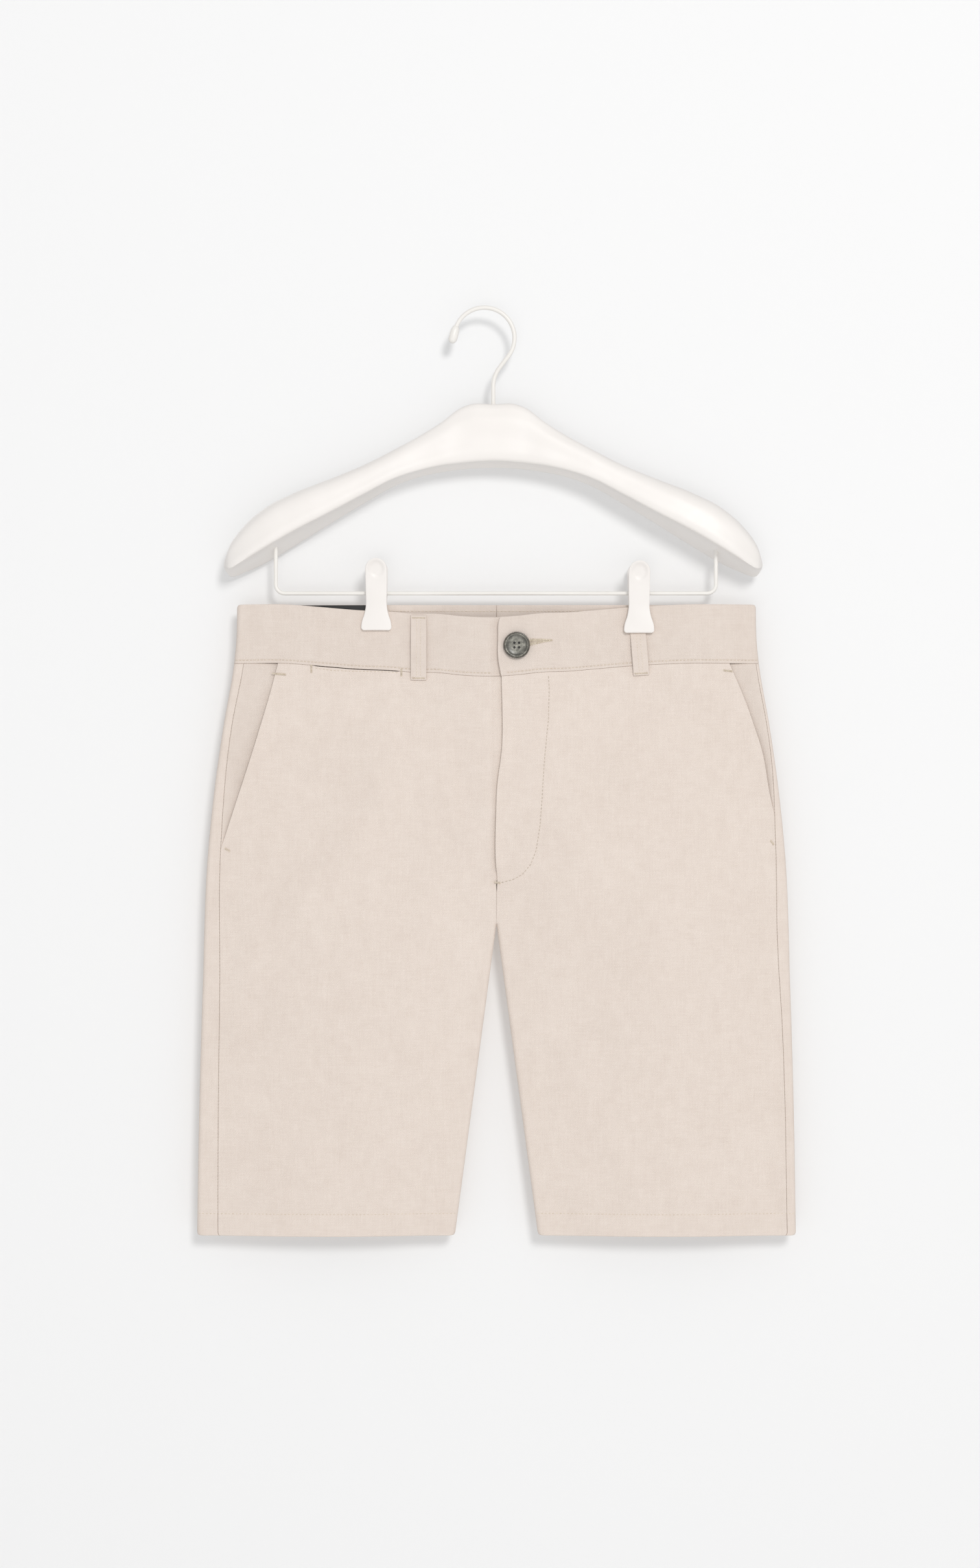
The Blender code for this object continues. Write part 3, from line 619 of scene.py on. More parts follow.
def from_inner_edge(start, drop, inset):
    """Columns beside the inner edge. Below the crotch they turn round the inside leg's fold."""
    folded = ease((drop - CROTCH_DROP) / FOLD_START + 1)
    round_fold = (FOLD_RADIUS - inset) * (1 - np.cos(EDGE_STEPS / FOLD_RADIUS))
    return start + EDGE_STEPS + (round_fold - EDGE_STEPS) * folded


def side_edge(side, drop):
    return outer_half(drop) - curved(WRAP[side], "wrap", drop)


def front_edge(side, drop):
    """The front panel's outer edge: the slant pocket's opening, and the side seam below it."""
    seam = side_edge(side, drop)
    pocket = np.minimum(curved(POCKET[side], "x", drop), seam)
    return pocket + (seam - pocket) * ease((drop - POCKET[side]["drop"][-1]) / POCKET_JOIN + 1)


def pocket_lift(side, x, drop):
    """The pocket's edge stands away from the facing, most at the middle of its opening."""
    away = np.maximum(0, curved(POCKET[side], "x", drop) - x)
    top, wide, closing, shut = POCKET_MOUTH
    open_here = ease((drop - top) / (wide - top)) * (1 - ease((drop - closing) / (shut - closing)))
    return 0.25 * np.exp(-away / 2) + POCKET_GAPE[side] * open_here * np.exp(-away / 8)


def fly_lift(reach, drop):
    """How far the overlap stands off the layer under it, at this reach in from its free edge."""
    return FLY_GAPE * np.exp(-((reach / 3.5) ** 2)) * (1 - ease((drop - FLY_SEWN) / 12))


def coin_gap(x, drop):
    """The coin pocket's mouth: the front's top edge hangs this much below the waistband."""
    start, end = COIN_POCKET
    along = ease((x - start) / 3) * ease((end - x) / 3)
    return COIN_OPENS * along * np.exp(-(drop - PANEL_TOP) / 3.0)


def sewn(name, place, thick, distance, material, node):
    """A piece of cloth, from a function that places points at an inset below its outside."""
    rim = rim_inset(distance, thick)
    return shell(name, place(rim), place(thick - rim), material, "cloth", [node])


def panel_levels():
    return levels(PANEL_TOP, HEM_DROP, (CROTCH_DROP, HEM_DROP - HEM_TURN))


def edge_distance(drop, first, count, last, top=PANEL_TOP, bottom=HEM_DROP):
    """The distance of each grid point from the nearest sewn edge."""
    far = np.full(count, 99.0)
    beside = np.concatenate((first, far, last))
    return np.minimum(np.minimum(drop - top, bottom - drop), beside)


def front_panel(side, word):
    """A front. The left one ends at the fly's edge, and the right one goes on under it."""
    drop = panel_levels()
    over = side > 0
    fly = curved(FLY_EDGE, "x", drop)
    if not over:
        reach = FLY_UNDERLAP * (1 - ease((drop - FLY_NARROWS) / (FLY_END - FLY_NARROWS)))
        fly = -reach - np.maximum(0, fly) * ease(reach / FLY_UNDERLAP)
    fly_bottom = FLY_CLOSED if over else FLY_END
    laps = LAP_COLUMNS[:0] if over else LAP_COLUMNS
    distance = edge_distance(drop, EDGE_STEPS, FRONT_COLUMNS + len(laps), CLOSE_ENDS)

    def place(inset):
        near = inset[:, :SEWN_COLUMNS]
        start = np.where(drop < fly_bottom, fly, inner_edge(drop, near))
        first = from_inner_edge(start, drop, near)
        first = np.hstack((first, first[:, -1:] + laps))
        x = filled(first, front_edge(side, drop) - VISIBLE_GAP - CLOSE_ENDS, FRONT_COLUMNS)
        lift = pocket_lift(side, x, drop)
        if over:
            return cloth_point(x, drop, True, inset, lift + fly_lift(x - start[:, :1], drop))
        lift = lift - lap(-x, drop, CLOTH + 0.2)
        return cloth_point(-x, drop + coin_gap(-x, drop), True, inset, lift)

    return sewn(f"front_{word}", place, wall_at(drop), distance, LEG_TWILL, f"front_panel_{word}")


def to_the_fold(first, drop, inset):
    """The back's columns, from the first ones to the side fold, and the front's half width there."""
    behind = outer_half(drop) - inset[:, FOLD_COLUMN - WRAP_COLUMNS : FOLD_COLUMN]
    x_back = filled(first, behind - FOLD_REACH * (1 - WRAP_SHARE) ** 2, BACK_COLUMNS)
    return x_back, outer_half(drop) - inset[:, FOLD_COLUMN : FOLD_COLUMN + WRAP_COLUMNS]


def round_the_fold(side, x_back, x_front, drop, inset, lift_back=0.0, lift_front=0.0):
    behind = cloth_point(side * x_back, drop, False, inset[:, :FOLD_COLUMN], lift_back)
    before = cloth_point(side * x_front, drop, True, inset[:, FOLD_COLUMN:], lift_front)
    return np.concatenate((behind, before), axis=1)


def back_panel(side, word):
    """A back, which goes round the side fold to the side seam in front."""
    drop = panel_levels()
    distance = edge_distance(drop, EDGE_STEPS, BACK_COLUMNS + 2 * WRAP_COLUMNS, CLOSE_ENDS)

    def place(inset):
        near = inset[:, :SEWN_COLUMNS]
        first = from_inner_edge(inner_edge(drop, near), drop, near)
        x_back, width = to_the_fold(first, drop, inset)
        seam = side_edge(side, drop) + VISIBLE_GAP
        x_wrap = width - (width - seam - CLOSE_STEPS[-1] - 0.2) * WRAP_SHARE**2
        return round_the_fold(side, x_back, np.hstack((x_wrap, seam + CLOSE_ENDS)), drop, inset)

    return sewn(f"back_{word}", place, wall_at(drop), distance, LEG_TWILL, f"back_panel_{word}")


def pocket_facing(side, word):
    """The strip seen in the slant pocket: flush at the side seam, and sinking under the front's edge."""
    drop = levels(PANEL_TOP, FACING_BOTTOM)
    distance = edge_distance(drop, CLOSE_STEPS, FACING_COLUMNS, CLOSE_ENDS, bottom=FACING_BOTTOM)
    edge = np.minimum(curved(POCKET[side], "x", drop), side_edge(side, drop))
    outer = side_edge(side, drop) - VISIBLE_GAP
    x = filled(edge - FACING_REACH + CLOSE_STEPS, outer - CLOSE_ENDS, FACING_COLUMNS)
    sink = 0.1 + 2.4 * ease((outer - x) / np.maximum(4, outer - edge + 3))

    def place(inset):
        return cloth_point(side * x, drop, True, sink + inset)

    node = f"pocket_facing_{word}"
    return sewn(f"facing_{word}", place, FACING_CLOTH, distance, FACING_TWILL, node)


# ---------------- waistband and its trim

SEAM_ROW = BAND_HEIGHT - 2.6         # the row of stitches above the waistband's lower edge


def waistband(side, word):
    """Half of the waistband, from the middle back round the side fold to the front."""
    drop = levels(0.0, BAND_HEIGHT, (SEAM_ROW,))
    count = BACK_COLUMNS + 2 * WRAP_COLUMNS + FRONT_COLUMNS
    distance = edge_distance(drop, EDGE_STEPS, count, EDGE_STEPS[::-1], top=0.0, bottom=BAND_HEIGHT)
    groove = 0.35 * np.exp(-(((drop - SEAM_ROW) / 0.8) ** 2))
    groove = groove - 0.25 * np.exp(-(((BAND_HEIGHT - drop) / 1.2) ** 2))
    over = side > 0

    def place(inset):
        x_back, width = to_the_fold(VISIBLE_GAP + EDGE_STEPS + 0 * drop, drop, inset)
        stop = curved(BAND_END, "x", drop) if over else -BAND_UNDERLAP + 0 * drop
        x_front = filled(width - FOLD_REACH * WRAP_SHARE**2, stop + EDGE_STEPS[::-1], FRONT_COLUMNS)
        lift = fly_lift(x_front - stop, 0.0) if over else -lap(-x_front, drop, BAND_CLOTH + 0.2)
        return round_the_fold(side, x_back, x_front, drop, inset, -groove, lift - groove)

    return sewn(f"band_{word}", place, BAND_CLOTH, distance, BAND_TWILL, f"waistband_{word}")


# Each belt loop: where its middle lies at the top and bottom, both drops, and whether it is in front.
LOOPS = (
    ("front_right", -62.4, -62.4, 1.5, 53.6, True),
    ("front_left", 112.0, 116.0, 4.0, 55.4, True),
    ("back_right", -152.0, -152.0, 3.0, 56.0, False),
    ("back_left", 152.0, 152.0, 3.0, 56.0, False),
    ("back_middle", 0.0, 0.0, 3.0, 56.0, False),
)
GRIPPED_LOOP = "front_left"      # the clip's jaw presses this loop's top flat


def loop_lift(loop, drop):
    """How far the loop stands off the band: least at its sewn ends, and flat under a clip's jaw."""
    name, _, _, top, bottom, _ = loop
    start = PINCH_DROP if name == GRIPPED_LOOP else top
    share = np.clip((drop - start) / (bottom - start), 0, 1)
    return 0.12 + LOOP_BOW * np.sin(math.pi * share) ** 0.8


def loop_middle(loop, drop):
    _, top_x, bottom_x, top, bottom, _ = loop
    return top_x + (bottom_x - top_x) * (drop - top) / (bottom - top)


def loop_place(loop, across, drop, lift):
    """Points on a loop, across it from -1 to 1."""
    x = loop_middle(loop, drop) + across * LOOP_WIDTH / 2
    return cloth_point(x, drop, loop[5], 0.0, lift + loop_lift(loop, drop))


def belt_loop(loop):
    top, bottom = loop[3:5]
    drop = levels(top, bottom)
    half = LOOP_WIDTH / 2
    inside = np.linspace(-half + 2, half - 2, 7)
    across = np.concatenate((-half + CLOSE_STEPS, inside, half - CLOSE_ENDS))
    distance = np.minimum(np.minimum(drop - top, bottom - drop), half - np.abs(across))
    rim = rim_inset(distance, LOOP_CLOTH)
    crown = 0.25 * (1 - (across / half) ** 2)
    outer = loop_place(loop, across / half, drop, LOOP_CLOTH - rim + crown)
    inner = loop_place(loop, across / half, drop, rim + crown)
    name = f"loop_{loop[0]}"
    return shell(name, outer, inner, LOOP_TWILL, "cloth", [f"belt_loop_{loop[0]}"])


LABEL_TOP = 0.25
LABEL_BOTTOM = 34.0
LABEL_THICK = 0.6


def label():
    """The blank black label sewn inside the back of the waistband."""
    drop = levels(LABEL_TOP, LABEL_BOTTOM)
    left = low("inner_label")[0] - GARMENT_X
    right = high("inner_label")[0] - GARMENT_X
    inside = np.linspace(left + 3, right - 3, 20)
    x = np.concatenate((left + CLOSE_STEPS, inside, right - CLOSE_ENDS))
    upright = np.minimum(drop - LABEL_TOP, LABEL_BOTTOM - drop)
    distance = np.minimum(upright, np.minimum(x - left, right - x))
    rim = rim_inset(distance, LABEL_THICK)
    outer = cloth_point(x, drop, False, BAND_CLOTH)
    inner = outer.copy()
    outer[..., 1] -= 0.15 + rim
    inner[..., 1] -= 0.15 + LABEL_THICK - rim
    return shell("blank_label", outer, inner, label_material(), "label", ["inner_label"])


# ---------------- threads

STITCH_RINGS = table("along swell", (-0.5, 0.3), (-0.36, 0.85), (0.0, 1.0), (0.36, 0.85), (0.5, 0.3))
STITCH_SIDES = 6


def threads(name, rows, radius, material, arch=0.14):
    """Rows of short stitches joined in one mesh. Each stitch dives into the cloth at both ends."""
    starts, ends, outwards = (np.concatenate(parts) for parts in zip(*rows))
    run = ends - starts
    length = np.linalg.norm(run, axis=1, keepdims=True)
    along = run / length
    out = outwards - (outwards * along).sum(1, keepdims=True) * along
    out /= np.linalg.norm(out, axis=1, keepdims=True)
    turn = circle(np.cross(along, out)[:, None], out[:, None], STITCH_SIDES)
    rings = []
    for share, swell in zip(*STITCH_RINGS.values()):
        centre = (starts + ends) / 2 + along * length * share + out * arch * (1 - 2 * (2 * share) ** 2)
        rings.append(centre[:, None] + turn * radius * swell)
    rings = np.stack(rings, 1)
    stitches, count = rings.shape[:2]
    cap = np.arange(STITCH_SIDES)
    each = grid_faces(count, STITCH_SIDES, ring=True).tolist()
    each += [cap[::-1].tolist(), (cap + (count - 1) * STITCH_SIDES).tolist()]
    firsts = range(0, stitches * count * STITCH_SIDES, count * STITCH_SIDES)
    faces = [[first + corner for corner in face] for first in firsts for face in each]
    return finish_piece(name, mesh_of(name, rings.reshape(-1, 3), faces), material)


def stitched(ends, front=True):
    """A row of stitches: where they start, where they end, and the way out of the cloth."""
    return *ends, np.tile(-BACKWARDS if front else BACKWARDS, (len(ends[0]), 1))


def on_front(x, drop, lift):
    return cloth_point(x, drop, True) - lift * BACKWARDS


def crossing(place, x, drop, step_x, step_drop, front=True):
    """Stitches that cross a line of places, each from one side of it to the other."""
    return stitched([place(x + turn * step_x, drop + turn * step_drop) for turn in (-1, 1)], front)


def spaced(path, pitch, length):
    """Stitches along a line of places: where they start, and where they end, as x and drop."""
    path = np.array(path, float)
    reach = np.concatenate(([0], np.cumsum(np.hypot(*np.diff(path, axis=0).T))))
    count = max(1, round(reach[-1] / pitch))
    pitch = reach[-1] / count
    first = np.arange(count) * pitch + (pitch - length) / 2
    return [[np.interp(at, reach, part) for part in path.T] for at in (first, first + length)]


def row_of(path, front=True, pitch=2.9, length=2.1, lift=0.12, inside=0.0):
    """A row of stitches along a line. It lies on the inside of a wall of this thickness, if given."""
    outer = front == (inside == 0)
    step = -lift * BACKWARDS if outer else lift * BACKWARDS
    places = spaced(path, pitch, length)
    return stitched([cloth_point(x, drop, front, inside) + step for x, drop in places], outer)


def bartack(x, fall, to_x, to_fall, lift=0.4, width=1.7):
    """A dense zigzag across a short line, from one place on the front to another."""
    length = math.hypot(to_x - x, to_fall - fall)
    count = max(4, int(length / 0.42))
    share = np.linspace(0, 1, count)
    left, down = np.array((fall - to_fall, to_x - x)) / length * width / 2

    def place(x, fall):
        return on_front(x, drop_of(x, fall), lift)

    line_x = x + (to_x - x) * share
    return crossing(place, line_x, fall + (to_fall - fall) * share, left + 0.12 * down, down)


FLY_STITCH = table(
    "x fall",
    (41.6, 57.0), (42.1, 67.0), (41.6, 91.0), (40.0, 106.6), (38.0, 128.0), (36.4, 155.0), (34.6, 178.0),
    (31.6, 197.0), (27.4, 208.0), (20.6, 216.2), (13.0, 220.4), (3.4, 222.8),
)
COIN_STITCH = table("x fall", (-145.6, 50.6), (-139, 51.9), (-133, 52.6), (-105, 53.6), (-78.5, 54.6))
# Each bartack: from one x and fall to another, how far it stands off the cloth, and its width.
BARTACKS = (
    (-148.2, 48.6, -148.2, 54.6, 0.2),
    (-76.2, 51.4, -76.2, 57.4, 0.2),
    (-179.5, 55.2, -168.8, 56.2, 0.5),
    (-217.4, 195.4, -213.6, 197.6),
    (182.0, 52.8, 189.0, 53.6),
    (219.6, 189.0, 222.0, 192.4),
    (-1.4, 222.4, 3.0, 223.2, 0.2, 2.0),
)
SIDE_STITCHES = np.arange(60.0, 484.0, 2.6)
LABEL_ROW = (-104, 165, 5.0)         # the row across the top of the label: x from and to, and drop


def front_path(rows):
    return [(x, float(drop_of(x, fall))) for x, fall in zip(*rows.values())]


def line(start, end, drop):
    return [(x, drop) for x in np.linspace(start, end, max(2, int(abs(end - start) / 6)))]


def band_threads():
    side = float(outer_half(SEAM_ROW)) - 0.6
    rows = [
        row_of(line(-side, -4.5, SEAM_ROW), lift=0.0),
        row_of(line(5.0, side, SEAM_ROW), lift=0.0),
        row_of(line(-side, side, SEAM_ROW), front=False, lift=0.0),
        row_of(line(*LABEL_ROW), front=False, inside=BAND_CLOTH),
    ]
    return threads("waistband_stitches", rows, 0.2, THREAD)


def fly_threads():
    rows = [row_of(front_path(FLY_STITCH), pitch=3.0, length=2.2)]
    return threads("fly_stitches", rows, 0.23, FLY_THREAD)


def hem_threads():
    drop = HEM_DROP - HEM_TURN + 0.2
    inner = float(leg_gap(drop)) + 1.0
    outer = float(outer_half(drop)) - 0.5
    rows = []
    for front in (True, False):
        for side in (-1, 1):
            path = line(side * inner, side * outer, drop)
            rows.append(row_of(path, front, pitch=3.0, length=1.7, lift=0.1))
    return threads("hem_stitches", rows, 0.2, THREAD)


def pocket_threads():
    rows = [row_of(front_path(COIN_STITCH), length=2.0)]
    rows += [bartack(*places) for places in BARTACKS]
    return threads("pocket_and_fly_tacks", rows, 0.19, THREAD)


def side_threads():
    """Small stitches that show across each side seam."""
    rows = []
    for side in (-1, 1):
        x = side * side_edge(side, SIDE_STITCHES)
        rows.append(crossing(partial(on_front, lift=0.1), x, SIDE_STITCHES, side * 0.45, side * -0.3))
    return threads("side_seam_stitches", rows, 0.13, FLY_THREAD)


def loop_threads():
    """Two upright rows on each belt loop, and a bartack at its top and bottom."""
    rows = []
    for loop in LOOPS:
        top, bottom, front = loop[3:]
        for x in (-LOOP_ROW, LOOP_ROW):
            places = spaced([(x, top + 3.4), (x, bottom - 3.0)], 2.3, 1.5)
            rows.append(stitched([loop_place(loop, *place, LOOP_CLOTH + 0.2) for place in places], front))
        place = partial(loop_place, loop, lift=LOOP_CLOTH + 0.3)
        for drop in (top + 2.2, bottom - 1.6):
            rows.append(crossing(place, np.linspace(-0.8, 0.8, 20), drop, 0.05, 0.7, front))
    return threads("belt_loop_stitches", rows, 0.17, THREAD)


HOLE_START = 25.0
HOLE_END = 42.5
HOLE_DROP = 22.6


def buttonhole():
    """Satin stitches along both lips of the buttonhole, closing to a point at its bar."""
    rows = []
    share = np.linspace(0, 1, 44)
    x = HOLE_START + (HOLE_END - HOLE_START) * share
    spread = 0.25 + 0.75 * (1 - share)
    along = HOLE_DROP - (x - HOLE_START) * 0.03
    for lip in (-1, 1):
        loose = spread * (0.35 * np.sin(share * 61 + lip) + 0.3 * np.sin(share * 148))
        near = on_front(x + 0.3 * loose, along + lip * 0.15 * spread, 0.32)
        far = on_front(x + 0.4 - loose, along + lip * (3.2 * spread + loose), 0.32)
        rows.append(stitched([near, far]))
    bar_x = np.linspace(HOLE_END - 0.5, HOLE_END + 2.0, 7)
    rows.append(crossing(partial(on_front, lift=0.4), bar_x, HOLE_DROP - 0.5, 0.0, 0.7))
    return threads("buttonhole_stitches", rows, 0.2, HOLE_THREAD, arch=0.1)


# ---------------- button

BUTTON_SIDES = 144
BUTTON_HOLE = 1.02
BUTTON_HOLE_SPREAD = 1.85
BUTTON_FLOOR = 0.4       # the holes stop this far short of the button's back, and their walls get painted shade deeper down
KNURLS = 72
# The turned face: radius as a share of the button's, and height as a share of its thickness.
BUTTON_PROFILE = table(
    "reach height",
    (0.0, 0.56), (0.30, 0.58), (0.50, 0.62), (0.66, 0.70), (0.76, 0.82), (0.80, 0.93), (0.83, 0.97),
    (0.865, 0.97), (0.885, 0.88), (0.905, 0.88), (0.93, 1.0), (0.965, 0.98), (1.0, 0.72), (0.995, 0.36),
    (0.94, 0.10), (0.86, 0.0), (0.0, 0.0),
)


def button():
    """A turned four-hole button with a raised ring and a knurled rim. Its own axes start at its middle."""
    width, thick, _ = high("button") - low("button")
    radius = width / 2
    knurl = 0.006 * np.cos(KNURLS * np.arange(BUTTON_SIDES) * math.tau / BUTTON_SIDES)[:, None]
    rings = []
    for reach, height in zip(*BUTTON_PROFILE.values()):
        across = max(reach, 0.004) * radius * (1 + knurl * (reach > 0.95))
        rings.append(across * circle(SIDEWAYS, UP, BUTTON_SIDES) + BACKWARDS * (0.5 - height) * thick)
    made = tube("marbled_button", np.stack(rings), button_material(radius), ["button"])
    made.location = middle("button") * MM
    front = low("button")[1] - 1
    depth = high("button")[1] - BUTTON_FLOOR - front
    cutters = []
    for sideways, up in ((-1, -1), (1, -1), (1, 1), (-1, 1)):
        x, _, z = middle("button") + np.array((sideways, 0, up)) * BUTTON_HOLE_SPREAD
        bpy.ops.mesh.primitive_cylinder_add(
            vertices=24, radius=BUTTON_HOLE * MM, depth=depth * MM, rotation=(math.pi / 2, 0, 0),
            location=(x * MM, (front + depth / 2) * MM, z * MM),
        )
        cutters.append(bpy.context.object)
        cut = made.modifiers.new("hole", "BOOLEAN")
        cut.operation = "DIFFERENCE"
        cut.object = cutters[-1]
    bpy.context.view_layer.update()
    graph = bpy.context.evaluated_depsgraph_get()
    mesh = bpy.data.meshes.new_from_object(made.evaluated_get(graph))
    made.modifiers.clear()
    made.data = mesh
    mesh.shade_smooth()
    mesh.set_sharp_from_angle(angle=math.radians(50))
    for cutter in cutters:
        bpy.data.objects.remove(cutter)


# ---------------- hanger

HANGER_X = middle("hanger_body")[0]
HANGER_HOLLOW = 0.9      # the underside is slightly hollow
HANGER = table(
    "x top crease lower front back",
    (0, -76.0, -122.0, -126.0, 8, 8), (18, -76.0, -123.0, -126.6, 8, 8), (27, -79.5, -124.0, -127.4, 8, 9),
    (40, -89.5, -125.6, -129.2, 9, 9), (58, -101.0, -129.6, -132.8, 10, 10),
    (80, -113.0, -137.0, -140.6, 12, 11), (102, -124.3, -148.6, -153.0, 14, 12),
    (131, -136.5, -164.4, -170.2, 17, 14), (160, -148.0, -179.6, -188.0, 19, 16),
    (183, -160.0, -193.0, -201.6, 19, 16), (200, -174.5, -203.0, -209.6, 16, 14),
    (211, -189.0, -208.6, -213.4, 11, 11), (216, -199.0, -208.6, -212.0, 6.5, 6.5),
)
HANGER_END = 5.0         # length over which each arm's end rounds off
HANGER_STEP = 4.0
WIRE_SIDES = 20


def smooth_run(count, *points):
    """A smooth curve through a few points of a section, as count points."""
    y, z = np.array(points, float).T
    reach = np.concatenate(([0], np.cumsum(np.hypot(np.diff(y), np.diff(z)))))
    columns = {"reach": reach, "y": y, "z": z}
    return np.stack([curved(columns, key, np.linspace(0, reach[-1], count)) for key in "yz"], -1)


def hanger_section(x):
    """One upright section of an arm: a convex front and back and a rounded, slightly hollow underside."""
    _, top, crease, lower, front, back = (float(curved(HANGER, name, abs(x))) for name in HANGER)
    front_high = top - crease
    back_high = top - lower
    outside = smooth_run(
        44, (-front + 0.5, crease), (-front, crease + 0.8), (-front, crease + 0.40 * front_high),
        (-0.80 * front, crease + 0.82 * front_high), (-0.42 * front, top - 0.5), (0, top),
        (0.42 * back, top - 0.5), (0.80 * back, lower + 0.82 * back_high),
        (back, lower + 0.40 * back_high), (back, lower + 0.8), (back - 0.5, lower),
    )
    rise = 0.25 * (crease - lower)
    underside = smooth_run(
        16, (back - 1.6, lower - 0.1), (0.4 * back, lower + rise + HANGER_HOLLOW),
        (-0.4 * front, crease - rise + HANGER_HOLLOW), (-front + 1.6, crease - 0.1),
    )
    section = np.concatenate((outside, underside))
    reach = max(0.0, (abs(x) - HANGER["x"][-1]) / HANGER_END + 1)
    centre = np.array((0.0, (top + lower) / 2))
    section = centre + (section - centre) * max(0.05, math.sqrt(max(0.0, 1 - reach**2)))
    return np.column_stack((np.full(len(section), HANGER_X + x), section))


def hanger_body():
    end = HANGER["x"][-1]
    rounding = end - HANGER_END * (1 - np.sin(np.linspace(0, math.pi / 2, 8)))
    arm = np.concatenate((np.arange(0, end - HANGER_END, HANGER_STEP), rounding))
    sections = np.stack([hanger_section(x) for x in (*-arm[:0:-1], *arm)])
    made = tube("hanger", sections, PLASTIC, ["hanger_body"])
    made.data.set_sharp_from_angle(angle=math.radians(60))


def upright(x, z):
    """Points in the plane y = 0."""
    return np.stack(np.broadcast_arrays(x, 0.0, z), -1).reshape(-1, 3)


def wire(name, route, radius, nodes):
    """A round wire along a route that lies in the plane y = 0, with domed ends."""
    along = np.vstack((route[1:], route[-1:])) - np.vstack((route[:1], route[:-1]))
    along /= np.linalg.norm(along, axis=1, keepdims=True)
    turn = circle(np.cross(along, BACKWARDS)[:, None], BACKWARDS, WIRE_SIDES)
    lean = np.radians((30, 60, 85))[:, None, None]
    domes = []
    for end, side in ((0, -1), (-1, 1)):
        steps = side * along[end] * np.sin(lean) + turn[end] * np.cos(lean)
        domes.append(route[end] + steps * radius)
    sections = np.concatenate((domes[0][::-1], route[:, None] + turn * radius, domes[1]))
    tube(name, sections, COATING, nodes)


HOOK_RADIUS = 24.25
HOOK_WIRE = 1.75
HOOK_TIP_ANGLE = 163
HOOK_NECK_ANGLE = -37
HOOK_CAP_RADIUS = 3.7
HOOK_CAP_LEAN = 15


def hook():
    """Crown, straight neck and reverse bend down to the stem, sunk a little into the hanger."""
    turn = np.radians(np.linspace(HOOK_TIP_ANGLE, HOOK_NECK_ANGLE, 56))
    crown = upright(HOOK_RADIUS * np.cos(turn), HOOK_WIRE - HOOK_RADIUS + HOOK_RADIUS * np.sin(turn))
    lean = math.radians(-HOOK_NECK_ANGLE)
    turn = np.linspace(lean, 0.0, 14)
    bend_x = HANGER_X + HOOK_RADIUS * (1 - np.cos(turn))
    bend_z = crown[-1, 2] - (crown[-1, 0] - bend_x[0]) / math.tan(lean)
    bend = upright(bend_x, bend_z + HOOK_RADIUS * (np.sin(turn) - math.sin(lean)))
    neck = crown[-1] + (bend[0] - crown[-1]) * np.linspace(0, 1, 6)[1:-1, None]
    stem = upright(HANGER_X, HANGER["top"][0] - 1.0)
    wire("hook_wire", np.concatenate((crown, neck, bend, stem)), HOOK_WIRE, ["hook"])

    lean = math.radians(HOOK_CAP_LEAN)
    along = np.array((-math.sin(lean), 0.0, -math.cos(lean)))
    reach = high("hook_tip")[2] - low("hook_tip")[2]
    profile = (
        (-2.2, 0.50), (-1.9, 0.62), (-0.6, 0.78), (1.4, 0.94), (reach - 7.0, 1.0), (reach - 5.0, 0.93),
        (reach - 3.6, 0.74), (reach - 2.6, 0.42), (reach - 2.25, 0.1),
    )
    ring = circle(np.cross(along, BACKWARDS), BACKWARDS, 24) * HOOK_CAP_RADIUS
    sections = np.stack([crown[0] + along * at + ring * swell for at, swell in profile])
    tube("hook_end_cap", sections, COATING, ["hook_tip"])


BAR_WIRE = 1.6
BAR_BEND = 7.0


def bar():
    """One wire: down out of the hollow arm, along under the hanger and up into the other arm."""
    turn = np.linspace(0, math.pi / 2, 12)
    bend = upright(BAR_BEND * (1 - np.cos(turn)), middle("bar")[2] + BAR_BEND * (1 - np.sin(turn)))
    halves = []
    for word, side in (("right", 1), ("left", -1)):
        node = f"bar_upright_{word}"
        end = (low(node) if side > 0 else high(node))[0] + side * BAR_WIRE
        half = np.concatenate((upright(end, high(node)[2]), bend * (side, 1, 1) + (end, 0, 0)))
        halves.append(half[::side])
    wire("clip_bar", np.concatenate(halves), BAR_WIRE, ["bar", "bar_upright_right", "bar_upright_left"])


CLIP_PLATE = 2.6
CLIP_SEEN = 57.4         # the plates' length, as their lean shortens it
CLIP_TOP_RADIUS = 8.7
CLIP_OUTLINE = table(
    "fall half_width lean",
    (0, 8.7, 8.0), (4.2, 8.7, 6.6), (8.6, 8.7, 5.2), (20, 8.6, 2.3), (28, 8.5, 1.0), (37, 8.4, 0.0),
    (44, 9.6, 0.0), (51, 11.8, 0.0), (56.7, 12.2, 0.0), (59.3, 12.0, 0.0),
)
CLIP_CORNER = 2.6
KNUCKLE_SIDES = 28


